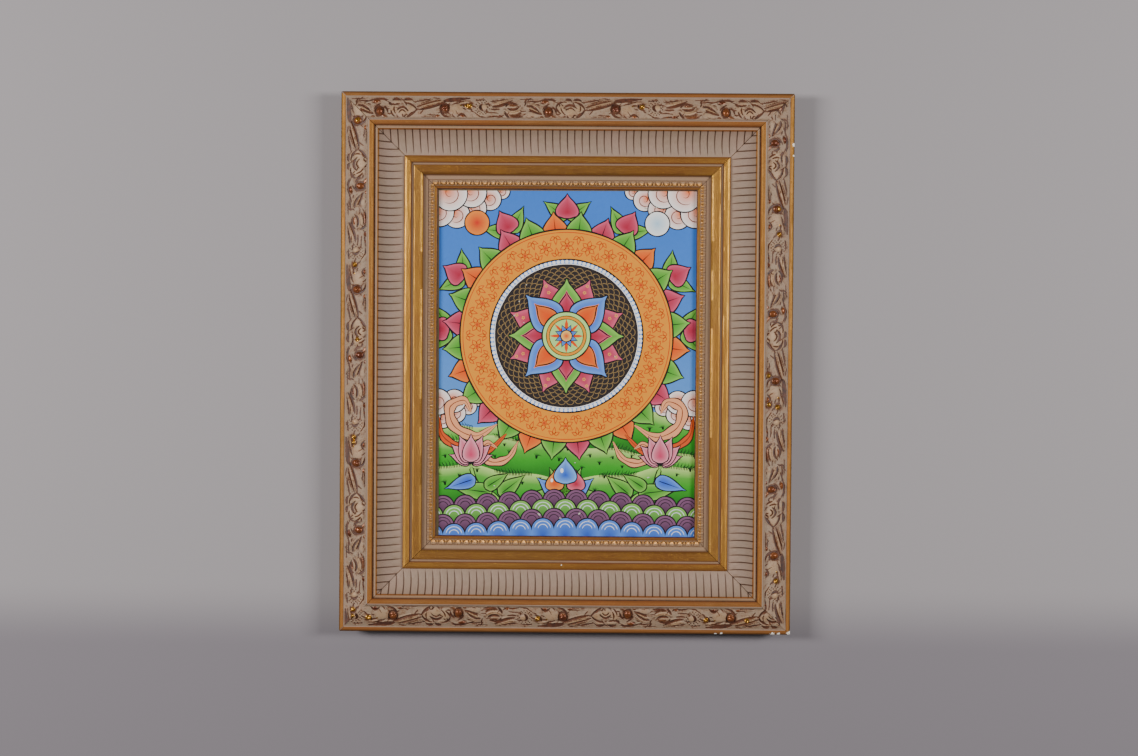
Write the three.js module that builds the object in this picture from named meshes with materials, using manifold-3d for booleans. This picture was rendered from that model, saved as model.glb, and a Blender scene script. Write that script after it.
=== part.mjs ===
// A painted cloth picture in a wide gilded and painted wooden moulding, lying on its back.
// Millimetres. +Z is out of the picture's face, +Y its top and +X its right. The origin is the
// middle of the back. Four mitred rails hold the cloth behind their inner lip, and a board
// closes the rebate behind it.
import * as THREE from "three";
import { mergeVertices } from "three/addons/utils/BufferGeometryUtils.js";
import Module from "manifold-3d";

const wasm = await Module();
wasm.setup();

// Driving dimensions.
const OUTER_WIDTH = 380;
const OUTER_HEIGHT = 454;
const FACE_WIDTH = 81; // of the moulding, from its outer edge to the lip at the picture
const GAP = 0.3; // between pieces
const REBATE_WIDTH = 6;
const LIP_BACK = 12; // height of the lip's underside over the back
const CLOTH_THICK = 1.5;
const BOARD_THICK = 3;
const BOARD_TOP = 9;

// The moulding's section, from the back of its outer side over the face to the rebate.
// across: distance inward from the outer edge. height: over the back.
const SECTION = [
  { across: 2.5, height: 0, part: "back, outer corner" },
  { across: 2.5, height: 15, part: "outer side" },
  { across: 0.4, height: 18, part: "outer side, under the rim" },
  { across: 0, height: 21, part: "gilt rim" },
  { across: 0.7, height: 23, part: "gilt rim" },
  { across: 2.2, height: 24, part: "gilt rim" },
  { across: 3.6, height: 23.4, part: "gilt rim" },
  { across: 4.2, height: 22.4, part: "quirk" },
  { across: 5.2, height: 22.6, part: "carved band" },
  { across: 9.5, height: 25.8, part: "carved band" },
  { across: 14, height: 28.8, part: "carved band" },
  { across: 18.5, height: 31, part: "carved band" },
  { across: 22.8, height: 32.4, part: "carved band" },
  { across: 24, height: 33.2, part: "gilt fillet" },
  { across: 24.4, height: 34.4, part: "gilt fillet" },
  { across: 26, height: 35, part: "gilt fillet" },
  { across: 27.8, height: 34.7, part: "gilt fillet" },
  { across: 28.9, height: 33.4, part: "gilt fillet" },
  { across: 29.3, height: 32, part: "quirk" },
  { across: 30.2, height: 33, part: "bead" },
  { across: 32.4, height: 32.4, part: "bead" },
  { across: 32.8, height: 31.6, part: "fluted cove" },
  { across: 36.6, height: 27, part: "fluted cove" },
  { across: 43, height: 23.2, part: "fluted cove" },
  { across: 51.6, height: 21, part: "fluted cove" },
  { across: 53, height: 20.8, part: "margin" },
  { across: 53.2, height: 21.8, part: "gilt step" },
  { across: 54.9, height: 23.3, part: "gilt step" },
  { across: 58.6, height: 23.3, part: "gilt step" },
  { across: 59.3, height: 22.5, part: "gilt step" },
  { across: 59.5, height: 20.9, part: "line" },
  { across: 61.3, height: 20.9, part: "line" },
  { across: 61.5, height: 21.9, part: "gilt band" },
  { across: 62.4, height: 22.6, part: "gilt band" },
  { across: 68.4, height: 21.3, part: "gilt band" },
  { across: 69.2, height: 20.5, part: "gilt band" },
  { across: 69.4, height: 18.2, part: "inner margin" },
  { across: 73, height: 18, part: "inner margin" },
  { across: 74, height: 18.4, part: "leaf edging" },
  { across: 76.4, height: 18.6, part: "leaf edging" },
  { across: 78.8, height: 17.4, part: "leaf edging" },
  { across: 79.4, height: 16.2, part: "gilt lip" },
  { across: FACE_WIDTH, height: 14.6, part: "gilt lip" },
  { across: FACE_WIDTH, height: LIP_BACK, part: "gilt lip" },
  { across: FACE_WIDTH - REBATE_WIDTH, height: LIP_BACK, part: "rebate" },
  { across: FACE_WIDTH - REBATE_WIDTH, height: 0, part: "back, inner corner" },
];

// The pressed ornament of the carved band repeats along each rail, clockwise round the frame.
// Two roses take turns in it, and the same nine raised forms follow each of them.
const REPEAT = 290.6; // from an upright rose to the next one
const SECOND_ROSE = 141.7; // from an upright rose to the tilted one
const ORNAMENT_SINK = 2; // how far a raised form's root reaches into the wood
// after: along the band from the rose's middle. turn: degrees from the rail towards its outer edge.
const FORMS = [
  { after: 0, across: 14, long: 20, wide: 14, rise: 1.6, turn: 0 }, // rose
  { after: 22, across: 11, long: 24, wide: 5.5, rise: 1.2, turn: 20 }, // double leaf
  { after: 36, across: 14.6, long: 7.4, wide: 7.4, rise: 2, turn: 0 }, // berry
  { after: 46, across: 11, long: 12, wide: 7, rise: 1, turn: -12 }, // scroll
  { after: 57, across: 12.5, long: 6, wide: 5, rise: 1.9, turn: 0 }, // bead
  { after: 68.5, across: 12.4, long: 10, wide: 10, rise: 1.2, turn: 0 }, // stippled flower
  { after: 82, across: 10, long: 18, wide: 6, rise: 1.1, turn: 14 }, // scroll leaf
  { after: 96.5, across: 13.5, long: 17, wide: 13, rise: 1.5, turn: 0 }, // peony
  { after: 111, across: 15, long: 13, wide: 4.5, rise: 1.2, turn: -32 }, // forked leaf
  { after: 124, across: 17.6, long: 7.6, wide: 7.6, rise: 1.8, turn: 0 }, // lower berry
];

// The cove's flutes are narrow grooves, deepest at their outer end.
const FLUTE_PITCH = 6.15;
const FLUTE_WIDTH = 1.1;
const FLUTE_DEPTH = 0.9;
const FLUTE_FADE = 0.2; // share of the depth that is left at the inner end

// first: where the first upright rose lies, from the rail's start.
const RAILS = [
  { name: "rail_top", length: OUTER_WIDTH, first: 52.1, corner: [-1, 1], turn: 0 },
  { name: "rail_right", length: OUTER_HEIGHT, first: 61, corner: [1, 1], turn: -Math.PI / 2 },
  { name: "rail_bottom", length: OUTER_WIDTH, first: 155.4, corner: [1, -1], turn: Math.PI },
  { name: "rail_left", length: OUTER_HEIGHT, first: 251.6, corner: [-1, -1], turn: Math.PI / 2 },
];

const paintedWood = new THREE.MeshStandardMaterial({ color: 0xa08c78, roughness: 0.55 });
const paintedCloth = new THREE.MeshStandardMaterial({ color: 0x6f8f74, roughness: 0.85 });
const hardboard = new THREE.MeshStandardMaterial({ color: 0x7b5b3e, roughness: 0.9 });

// A closed geometry as a solid that can be cut and joined.
function solidOf(geometry) {
  const bare = geometry.clone();
  bare.deleteAttribute("normal");
  bare.deleteAttribute("uv");
  const merged = mergeVertices(bare, 1e-4);
  return new wasm.Manifold(
    new wasm.Mesh({
      numProp: 3,
      vertProperties: new Float32Array(merged.attributes.position.array),
      triVerts: new Uint32Array(merged.index.array),
    }),
  );
}

function geometryOf(solid) {
  const mesh = solid.getMesh();
  return new THREE.BufferGeometry()
    .setAttribute("position", new THREE.BufferAttribute(mesh.vertProperties, 3))
    .setIndex(new THREE.BufferAttribute(mesh.triVerts, 1));
}

// The face's height at a distance inward from the outer edge, on the stretch of the named part.
function heightAt(across) {
  for (let i = 1; i < SECTION.length; i++) {
    const from = SECTION[i - 1];
    const to = SECTION[i];
    if (from.height > LIP_BACK && across >= from.across && across <= to.across)
      return from.height + ((to.height - from.height) * (across - from.across)) / (to.across - from.across);
  }
  throw new Error("no face at " + across);
}

// In a rail's own frame, +X runs clockwise along its outer edge and -Y is inward.
function plainRail(length) {
  const section = new THREE.Shape(SECTION.map((p) => new THREE.Vector2(-p.across, p.height)));
  const bar = new THREE.ExtrudeGeometry(section, { depth: length, bevelEnabled: false });
  // Turns the extrusion's axis to +X, the section's x to +Y and its y to +Z.
  bar.applyMatrix4(
    new THREE.Matrix4().makeBasis(
      new THREE.Vector3(0, 1, 0),
      new THREE.Vector3(0, 0, 1),
      new THREE.Vector3(1, 0, 0),
    ),
  );
  return solidOf(bar);
}

// The prism that a rail's two mitre cuts leave, drawn back by half a gap on each side.
function mitrePrism(length) {
  const back = (GAP / 2) * Math.SQRT2;
  const over = 1;
  const far = FACE_WIDTH + over;
  const plan = new THREE.Shape([
    new THREE.Vector2(back - over, over),
    new THREE.Vector2(back + far, -far),
    new THREE.Vector2(length - back - far, -far),
    new THREE.Vector2(length - back + over, over),
  ]);
  const prism = new THREE.ExtrudeGeometry(plan, { depth: 60, bevelEnabled: false });
  prism.translate(0, 0, -10);
  return solidOf(prism);
}

// One raised form: a low dome on an oval foot, its root sunk into the band.
function raisedForm(form, middle) {
  const profile = [
    new THREE.Vector2(0, -ORNAMENT_SINK),
    new THREE.Vector2(0.5, -ORNAMENT_SINK),
    new THREE.Vector2(0.5, 0),
    new THREE.Vector2(0.3, form.rise * 0.8),
    new THREE.Vector2(0, form.rise),
  ];
  const dome = new THREE.LatheGeometry(profile, 6);
  dome.rotateX(Math.PI / 2);
  dome.scale(form.long, form.wide, 1);
  // Lies along the band's slope.
  const slope = Math.atan2(heightAt(18.5) - heightAt(9.5), 9);
  dome.rotateX(-slope);
  dome.rotateZ(THREE.MathUtils.degToRad(form.turn));
  dome.translate(middle, -form.across, heightAt(form.across) - 0.2);
  return solidOf(dome);
}

function ornament(rail) {
  const forms = [];
  const roses = [];
  for (let rose = rail.first - REPEAT; rose < rail.length + REPEAT; rose += REPEAT)
    roses.push(rose, rose + SECOND_ROSE);
  for (const rose of roses)
    for (const form of FORMS) {
      const middle = rose + form.after;
      const inside = middle > form.across && middle < rail.length - form.across;
      if (inside) forms.push(raisedForm(form, middle));
    }
  return wasm.Manifold.union(forms);
}

// A groove with a V section that follows the cove down, drawn as a three-sided sweep.
function fluteCutter(middle) {
  const cove = SECTION.filter((p) => p.part === "fluted cove");
  const points = [];
  cove.forEach((p, i) => {
    const share = 1 - ((1 - FLUTE_FADE) * i) / (cove.length - 1);
    const half = (FLUTE_WIDTH / 2) * (0.5 + share / 2);
    const lift = 0.4;
    points.push([middle, -p.across, p.height - FLUTE_DEPTH * share]);
    points.push([middle - half, -p.across, p.height + lift]);
    points.push([middle + half, -p.across, p.height + lift]);
  });
  const faces = [[0, 1, 2]];
  for (let i = 0; i + 1 < cove.length; i++)
    for (let side = 0; side < 3; side++) {
      const a = i * 3 + side;
      const b = i * 3 + ((side + 1) % 3);
      faces.push([a, a + 3, b], [b, a + 3, b + 3]);
    }
  const last = (cove.length - 1) * 3;
  faces.push([last, last + 2, last + 1]);
  const geometry = new THREE.BufferGeometry();
  geometry.setAttribute("position", new THREE.Float32BufferAttribute(points.flat(), 3));
  geometry.setIndex(faces.flat());
  return solidOf(geometry);
}

function flutes(rail) {
  const cutters = [];
  const count = Math.floor((rail.length / 2 - 34) / FLUTE_PITCH);
  for (let i = -count; i <= count; i++) cutters.push(fluteCutter(rail.length / 2 + i * FLUTE_PITCH));
  return wasm.Manifold.union(cutters);
}

function railMesh(rail) {
  const solid = plainRail(rail.length)
    .add(ornament(rail))
    .subtract(flutes(rail))
    .intersect(mitrePrism(rail.length));
  const mesh = new THREE.Mesh(geometryOf(solid), paintedWood);
  mesh.name = rail.name;
  mesh.position.set((rail.corner[0] * OUTER_WIDTH) / 2, (rail.corner[1] * OUTER_HEIGHT) / 2, 0);
  mesh.rotation.z = rail.turn;
  return mesh;
}

// The painted cloth lies a little uneven behind the lip: a shallow swell and two faint ripples
// that die out at its edges.
function clothMesh() {
  const width = OUTER_WIDTH - 2 * (FACE_WIDTH - REBATE_WIDTH) - 2;
  const height = OUTER_HEIGHT - 2 * (FACE_WIDTH - REBATE_WIDTH) - 2;
  const columns = 12;
  const rows = 16;
  const swell = 0.35;
  const cloth = new THREE.BoxGeometry(width, height, CLOTH_THICK, columns, rows, 1);
  const place = cloth.attributes.position;
  for (let i = 0; i < place.count; i++) {
    const x = place.getX(i) / width;
    const y = place.getY(i) / height;
    const fade = Math.max(0, 1 - (2 * x) ** 4) * Math.max(0, 1 - (2 * y) ** 4);
    const ripple = Math.sin(5 * x + 3 * y) * 0.5 + Math.cos(4 * y - 2 * x) * 0.5;
    place.setZ(i, place.getZ(i) + swell * fade * ripple);
  }
  const mesh = new THREE.Mesh(cloth, paintedCloth);
  mesh.name = "painted_cloth";
  mesh.position.z = LIP_BACK - GAP - CLOTH_THICK / 2 - swell;
  return mesh;
}

function boardMesh() {
  const width = OUTER_WIDTH - 2 * (FACE_WIDTH - REBATE_WIDTH) - 2 * GAP;
  const height = OUTER_HEIGHT - 2 * (FACE_WIDTH - REBATE_WIDTH) - 2 * GAP;
  const mesh = new THREE.Mesh(new THREE.BoxGeometry(width, height, BOARD_THICK), hardboard);
  mesh.name = "backing_board";
  mesh.position.z = BOARD_TOP - BOARD_THICK / 2;
  return mesh;
}

const picture = new THREE.Group();
picture.add(...RAILS.map(railMesh), clothMesh(), boardMesh());

export default picture;
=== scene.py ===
# A painted cloth picture in a wide gilded and painted moulding, lying on its back.
from functools import partial
from math import atan2, cos, exp, floor, pi, radians, sin, sqrt

import bmesh
import bpy
import numpy as np
from mathutils import Euler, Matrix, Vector


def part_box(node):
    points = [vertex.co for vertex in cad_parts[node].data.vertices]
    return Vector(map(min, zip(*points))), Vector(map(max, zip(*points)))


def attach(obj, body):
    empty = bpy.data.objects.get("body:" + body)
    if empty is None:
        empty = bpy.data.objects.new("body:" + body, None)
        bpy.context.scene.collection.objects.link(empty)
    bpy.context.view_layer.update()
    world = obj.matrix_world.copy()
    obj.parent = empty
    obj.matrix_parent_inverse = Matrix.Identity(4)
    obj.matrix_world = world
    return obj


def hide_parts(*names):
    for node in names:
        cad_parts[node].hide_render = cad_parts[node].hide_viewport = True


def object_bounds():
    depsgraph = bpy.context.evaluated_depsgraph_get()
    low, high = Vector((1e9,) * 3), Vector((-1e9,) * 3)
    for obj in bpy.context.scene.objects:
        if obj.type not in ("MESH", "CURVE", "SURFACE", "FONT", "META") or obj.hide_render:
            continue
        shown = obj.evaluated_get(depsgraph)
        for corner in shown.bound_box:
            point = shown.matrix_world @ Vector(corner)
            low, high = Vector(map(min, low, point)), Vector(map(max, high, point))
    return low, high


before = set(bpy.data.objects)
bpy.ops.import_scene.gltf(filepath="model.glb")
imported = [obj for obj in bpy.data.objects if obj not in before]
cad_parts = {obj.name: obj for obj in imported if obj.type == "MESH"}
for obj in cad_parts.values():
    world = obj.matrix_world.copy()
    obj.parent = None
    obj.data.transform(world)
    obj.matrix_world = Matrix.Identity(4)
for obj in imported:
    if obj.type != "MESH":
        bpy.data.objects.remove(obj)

cad_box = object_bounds()
MM = 0.001

# Camera: almost straight over the picture's face, a little above and to the right of its middle,
# at the angle from which the photo shows it.
camera_place = (19.5, 20.8, 1612.6)
camera_turn = (-1.184, 0.618, 0.411)


def object_of(name, data):
    """A new object in the scene that holds the data."""
    made = bpy.data.objects.new(name, data)
    bpy.context.scene.collection.objects.link(made)
    return made


camera = object_of("camera", bpy.data.cameras.new("camera"))
bpy.context.scene.camera = camera
camera.data.lens = 60
camera.data.sensor_width = 36
camera.data.dof.use_dof = False
camera.location = Vector(camera_place) * MM
camera.rotation_euler = Euler([radians(turn) for turn in camera_turn])

# Studio: a grey paper floor, with painted shade that darkens it below the picture, and a soft light
# over each side of it, so that the side rails' gilding shines and the top and bottom rails' stays dull.


def finish(name):
    """A new material, its node tree and its surface shader."""
    material = bpy.data.materials.new(name)
    material.use_nodes = True
    return material, material.node_tree, material.node_tree.nodes["Principled BSDF"]


def linear(red, green, blue):
    """A colour picked as 0 to 255 for the screen, as Blender's linear one."""
    shares = (red / 255, green / 255, blue / 255)
    return tuple(c / 12.92 if c < 0.04045 else ((c + 0.055) / 1.055) ** 2.4 for c in shares)


def plain_mesh(name, points, faces, smooth_under=None):
    """A mesh from points in millimetres. Faces meeting at less than the angle are smooth."""
    mesh = bpy.data.meshes.new(name)
    places = [tuple(place) for place in np.asarray(points, float) * MM]
    mesh.from_pydata(places, [], [tuple(face) for face in faces])
    if smooth_under is not None:
        mesh.shade_smooth()
        mesh.set_sharp_from_angle(angle=radians(smooth_under))
    return object_of(name, mesh)


def tree_of(*values):
    """The node tree of the first socket among the values."""
    return next(value.id_data for value in values if isinstance(value, bpy.types.NodeSocket))


def feed(socket, value):
    """Sets an input, or links it where the value is another node's socket."""
    if isinstance(value, bpy.types.NodeSocket):
        socket.id_data.links.new(value, socket)
    elif socket.type == "RGBA":
        socket.default_value = (*value, 1)
    else:
        socket.default_value = value


def new_node(tree, kind, values=(), **settings):
    """A node with its settings, and its inputs fed by name or number."""
    made = tree.nodes.new(kind)
    for key, value in settings.items():
        setattr(made, key, value)
    for key, value in dict(values).items():
        feed(made.inputs[key], value)
    return made


def into(shader, **values):
    """Feeds a shader's inputs."""
    for name, value in values.items():
        feed(shader.inputs[name.replace("_", " ")], value)


def object_place(tree, stretch=(1, 1, 1)):
    """Object coordinates, stretched."""
    place = new_node(tree, "ShaderNodeTexCoord").outputs["Object"]
    return new_node(tree, "ShaderNodeMapping", {"Vector": place, "Scale": stretch}).outputs[0]


def mixed(share, under, over, blend="MIX"):
    """Two colours mixed by a share."""
    tree = tree_of(share, under, over)
    values = {0: share, 6: under, 7: over}
    return new_node(tree, "ShaderNodeMix", values, data_type="RGBA", blend_type=blend).outputs[2]


floor_half = 2500
floor_corners = [(x * floor_half, y * floor_half, 0) for x, y in ((-1, -1), (1, -1), (1, 1), (-1, 1))]
floor_sheet = plain_mesh("floor", floor_corners, [(0, 1, 2, 3)])
# Painted shade on the floor: its grey darkens smoothly between these two places below the picture.
painted_shade_from, painted_shade_full = -0.186, -0.246
floor_grey, tree, shader = finish("floor grey")
floor_axes = new_node(tree, "ShaderNodeSeparateXYZ", {0: object_place(tree)}).outputs
values = {"Value": floor_axes["Y"], "From Min": painted_shade_from, "From Max": painted_shade_full}
floor_painted_shade = new_node(tree, "ShaderNodeMapRange", values, interpolation_type="SMOOTHSTEP").outputs[0]
into(shader, Base_Color=mixed(floor_painted_shade, linear(149, 143, 144), linear(121, 115, 119)))
into(shader, Roughness=0.9, Specular_IOR_Level=0.2)
floor_sheet.data.materials.append(floor_grey)

lights = [
    # name, place, wide, high, watts
    ("left light", (-1300, 200, 1250), 320, 700, 32),
    ("right light", (1300, 200, 1250), 320, 700, 28),
]
for name, place, wide, high, watts in lights:
    light = bpy.data.lights.new(name, "AREA")
    light.shape = "RECTANGLE"
    light.size = wide * MM
    light.size_y = high * MM
    light.energy = watts
    holder = object_of(name, light)
    holder.location = Vector(place) * MM
    holder.rotation_euler = (-Vector(place)).to_track_quat("-Z", "Y").to_euler()

world = bpy.data.worlds.new("room")
world.use_nodes = True
into(world.node_tree.nodes["Background"], Color=(0.93, 0.95, 1), Strength=0.16)
bpy.context.scene.world = world

# Rails: four lengths of softwood moulding, gessoed, painted greige over a red-brown ground and
# gilded on the rim, the fillet and the inner steps. They are mitred and glued at the corners,
# and the cove's flutes are pressed into the gesso before it is painted.
rail_gap = 0.3
outer_low, outer_high = (np.array(corner) / MM for corner in (cad_box[0], cad_box[1]))
width = outer_high[0] - outer_low[0]
height = outer_high[1] - outer_low[1]
face_width = 81.0

# The moulding's section, from its inner back corner round the outer side to the rebate. Each
# member is an arc to its end, bulging out of the wood by its rise.
section_start = (75.0, 0.0)
section_members = [
    # across, height, rise, steps, coat
    (2.5, 0.0, 0, 1, "bare wood"),
    (2.5, 15.0, 0, 1, "side paint"),
    (0.5, 18.4, -0.3, 3, "side paint"),
    (4.0, 23.0, 2.0, 8, "dull gilding"),
    (4.4, 22.6, 0, 1, "greige"),
    (5.2, 22.8, 0.1, 1, "greige"),
    (22.8, 31.6, 1.2, 4, "brown ground"),
    (23.9, 32.9, 0.3, 3, "greige"),
    (24.1, 33.6, 0, 1, "greige"),
    (24.5, 34.5, 0, 1, "greige"),
    (25.3, 34.75, 0.05, 2, "greige"),
    (27.4, 34.7, 0.1, 3, "dull gilding"),
    (29.3, 32.8, 0.35, 4, "dull gilding"),
    (29.8, 31.5, 0, 1, "brown ground"),
    (32.0, 32.5, 0.35, 3, "rubbed greige"),
    (32.5, 32.0, 0, 1, "dull gilding"),
    (33.2, 31.0, 0.1, 2, "dull gilding"),
    (51.4, 21.0, -2.5, 14, "greige"),
    (53.4, 20.8, 0, 1, "greige"),
    (53.55, 21.5, 0, 1, "gilding"),
    (54.9, 23.3, 0.4, 5, "gilding"),
    (58.7, 23.3, 0.03, 3, "gilding"),
    (59.4, 22.4, 0.1, 2, "dull gilding"),
    (59.6, 21.5, 0, 1, "brown ground"),
    (61.2, 21.4, 0, 2, "rubbed greige"),
    (61.5, 22.0, 0, 1, "dull gilding"),
    (62.3, 22.4, 0.15, 2, "gilding"),
    (68.7, 21.6, 0.05, 3, "inner gilding"),
    (69.5, 20.4, 0.12, 2, "dull gilding"),
    (70.0, 18.3, 0, 1, "rubbed greige"),
    (73.1, 18.0, 0, 2, "rubbed greige"),
    (73.3, 17.4, 0, 1, "brown ground"),
    (78.3, 16.5, 0.3, 3, "rubbed greige"),
    (79.2, 15.7, 0, 1, "dull gilding"),
    (80.3, 15.5, 0.1, 3, "dull gilding"),
    (81.0, 14.6, 0.1, 2, "brown ground"),
    (81.0, 12.0, 0, 1, "brown ground"),
    (75.0, 12.0, 0, 1, "bare wood"),
    (75.0, 0.0, 0, 1, "bare wood"),
]


def arc_between(start, end, rise, steps):
    """Points after start to end, on an arc that stands out by its rise on the left of its way."""
    start, end = np.array(start, float), np.array(end, float)
    chord = end - start
    left = np.array([-chord[1], chord[0]])
    shares = np.arange(1, steps + 1) / steps
    bow = 4 * shares * (1 - shares) * rise / max(np.hypot(*chord), 1e-9)
    return [tuple(start + chord * share + left * lift) for share, lift in zip(shares, bow)]


section, section_coats = [section_start], []
for across, high, rise, steps, coat in section_members:
    section += arc_between(section[-1], (across, high), rise, steps)
    section_coats += [coat] * steps
section = np.array(section[:-1])
# The side and the face lie over this height, the back and the rebate under it.
face_from = 12.5


def surface_height(across):
    """The moulding's face height at a distance inward from the outer edge."""
    face = [p for p in section if p[1] > face_from]
    face = sorted({round(p[0], 4): p[1] for p in face}.items())
    return np.interp(across, [p[0] for p in face], [p[1] for p in face])


# Each rail runs clockwise from its first corner, with the picture on its right.
# name, CAD node, length, first corner, direction along, direction inward
rails = [
    ("top rail", "rail_top", width, (-1, 1), (1, 0), (0, -1)),
    ("right rail", "rail_right", height, (1, 1), (0, -1), (-1, 0)),
    ("bottom rail", "rail_bottom", width, (1, -1), (-1, 0), (0, 1)),
    ("left rail", "rail_left", height, (-1, -1), (0, 1), (1, 0)),
]


def rail_to_world(rail, along, across, high):
    """Points in the picture's frame from their places along, across and over a rail."""
    _, _, _, corner, forward, inward = rail
    x = corner[0] * width / 2 + forward[0] * along + inward[0] * across
    y = corner[1] * height / 2 + forward[1] * along + inward[1] * across
    return np.stack([x, y, high + 0 * x], -1)


def mitred_bar(name, rail, rows, columns, carve=None, smooth_under=40, gap=rail_gap):
    """A closed bar along a rail with a mitre at each end. rows are (across, height) round its
    section, columns the places along it. carve moves the points of the grid."""
    length = rail[2]
    slack = gap / 2 * sqrt(2)
    across = np.repeat(rows[:, :1], len(columns), 1)
    high = np.repeat(rows[:, 1:], len(columns), 1)
    along = np.clip(np.repeat(columns[None], len(rows), 0), across + slack, length - across - slack)
    extras = {}
    if carve:
        along, across, high, extras = carve(along, across, high)
    along = np.clip(along, across + slack, length - across - slack)
    first = np.maximum(np.searchsorted(columns, rows[:, 0] + slack, "right") - 1, 0)
    last = np.minimum(np.searchsorted(columns, length - rows[:, 0] - slack, "left"), len(columns) - 1)
    column = np.clip(np.arange(len(columns))[None], first[:, None], last[:, None])
    index = np.arange(len(rows))[:, None] * len(columns) + column
    beside = np.roll(index, -1, 0)
    quads = np.stack([index[:, :-1], beside[:, :-1], beside[:, 1:], index[:, 1:]], -1)
    row_of = np.repeat(np.arange(len(rows))[:, None], len(columns) - 1, 1)
    same_a = quads[..., 0] == quads[..., 3]
    same_b = quads[..., 1] == quads[..., 2]
    whole = ~same_a & ~same_b
    faces = quads[whole].tolist()
    face_rows = row_of[whole].tolist()
    for mask, corners in ((same_a & ~same_b, (0, 1, 2)), (~same_a & same_b, (0, 1, 3))):
        faces += quads[mask][:, corners].tolist()
        face_rows += row_of[mask].tolist()
    faces.append(index[:, 0].tolist())
    faces.append(index[::-1, -1].tolist())
    face_rows += [len(rows) - 1] * 2
    used, renumbered = np.unique(np.concatenate([np.array(f) for f in faces]), return_inverse=True)
    ends = np.cumsum([len(f) for f in faces])[:-1]
    faces = [part.tolist() for part in np.split(renumbered, ends)]
    points = rail_to_world(rail, along.ravel()[used], across.ravel()[used], high.ravel()[used])
    made = plain_mesh(name, points, faces, smooth_under)
    around = np.concatenate([[0], np.cumsum(np.hypot(*np.diff(rows, axis=0).T))])
    places = np.stack([along.ravel()[used], np.repeat(around, len(columns))[used]], -1) * MM
    corner_vertex = np.zeros(len(made.data.loops), np.int32)
    made.data.loops.foreach_get("vertex_index", corner_vertex)
    made.data.uv_layers.new(name="rail").data.foreach_set("uv", places[corner_vertex].ravel())
    for layer, values in extras.items():
        made.data.attributes.new(layer, "FLOAT", "POINT").data.foreach_set("value", values.ravel()[used])
    return made, face_rows


flute_pitch = 6.15
flute_width = 1.1
flute_depth = 0.7
flute_span = (32.6, 52.4)
flute_margin = 34  # the cove's end at the mitre, which has no flutes
# Where the brown wash stays in the quirks: from and to, across the face, and how dark.
washed_gaps = [(59.5, 61.4, 0.3), (68.6, 70.1, 0.3), (73.2, 78.9, 0.3), (78.9, 80.6, 0.2)]
rim_from = 18.2


def flute_centres(length):
    """The places of a rail's flutes, evenly out from its middle."""
    count = floor((length / 2 - flute_margin) / flute_pitch)
    return length / 2 + np.arange(-count, count + 1) * flute_pitch


def press_flutes(length):
    """Presses the cove's flutes: narrow grooves, deep and dark at their outer end, that run
    slightly in an S and fade before the margin. It also records the wash in the quirks, and a
    painted shade along the rim's outer edge."""
    centres = flute_centres(length)

    def carve(along, across, high):
        inward = np.clip((across - flute_span[0]) / (flute_span[1] - flute_span[0]), 0, 1)
        face = high > face_from
        cove = face & (across > flute_span[0]) & (across < flute_span[1] + 0.1)
        drift = 0.35 * (inward**2 * 1.6 - np.sin(inward * pi) * 0.75)
        near = centres[np.argmin(np.abs(along[..., None] - centres), -1)]
        off = np.abs(along - near)
        half = flute_width / 2 * (1 - 0.35 * inward)
        shape = np.clip((1 - off / half) * 2.2, 0, 1)
        fade = np.clip((1 - inward) * 12, 0, 1) * (0.94 + 0.06 * np.sin(near * 1.7))
        pressed = np.where(cove, shape * fade, 0)
        panel = np.where(cove, np.clip(off / (flute_pitch / 2), 0, 1) ** 2 * 0.12 * (1 - inward), 0)
        wave = 0.05 * np.sin(along * 0.11 + across) + 0.04 * np.sin(along * 0.043 + 1.3 * across)
        high = high - pressed * flute_depth - panel + np.where(face & (across > 0.1), wave, 0)
        groove = pressed
        for start, end, share in washed_gaps:
            groove = np.where(face & (across > start) & (across < end), share, groove)
        # Painted shade: the rim's outer edge is darkened where the rounded rim turns away from the light.
        groove = groove + np.where(high > rim_from, np.clip((2.8 - across) / 2.4, 0, 1) * 0.45, 0)
        return along + np.where(cove, drift, 0), across, high, {"groove": groove}

    return carve


def rail_place(tree, stretch):
    """A rail's own coordinates, along it and across its face, stretched."""
    place = new_node(tree, "ShaderNodeUVMap", uv_map="rail").outputs[0]
    return new_node(tree, "ShaderNodeMapping", {"Vector": place, "Scale": stretch}).outputs[0]


def spread(value, low, high, to_low=0.0, to_high=1.0):
    """A value read between low and high, as one between two others."""
    values = {0: value, 1: low, 2: high, 3: to_low, 4: to_high}
    return new_node(tree_of(value), "ShaderNodeMapRange", values, clamp=True).outputs[0]


def noise(place, scale, detail=3, rough=0.55, low=0.35, high=0.65):
    """Fractal noise at so many cells a metre, spread from 0 at low to 1 at high."""
    values = {"Vector": place, "Scale": scale, "Detail": detail, "Roughness": rough}
    cloud = new_node(tree_of(place), "ShaderNodeTexNoise", values)
    return spread(cloud.outputs["Fac"], low, high)


def worked(operation, a, b):
    """Two values through one operation."""
    return new_node(tree_of(a, b), "ShaderNodeMath", {0: a, 1: b}, operation=operation).outputs[0]


plus, minus, times = partial(worked, "ADD"), partial(worked, "SUBTRACT"), partial(worked, "MULTIPLY")
divided, smaller, greater = partial(worked, "DIVIDE"), partial(worked, "MINIMUM"), partial(worked, "MAXIMUM")


def attribute(tree, name):
    """A number that the mesh keeps at its points."""
    return new_node(tree, "ShaderNodeAttribute", attribute_name=name).outputs["Fac"]


def bumped(shader, amount, depth):
    """Small relief from a value, so deep in millimetres."""
    values = {"Height": amount, "Distance": depth * MM, "Strength": 1.0}
    into(shader, Normal=new_node(tree_of(amount), "ShaderNodeBump", values).outputs[0])


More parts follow.
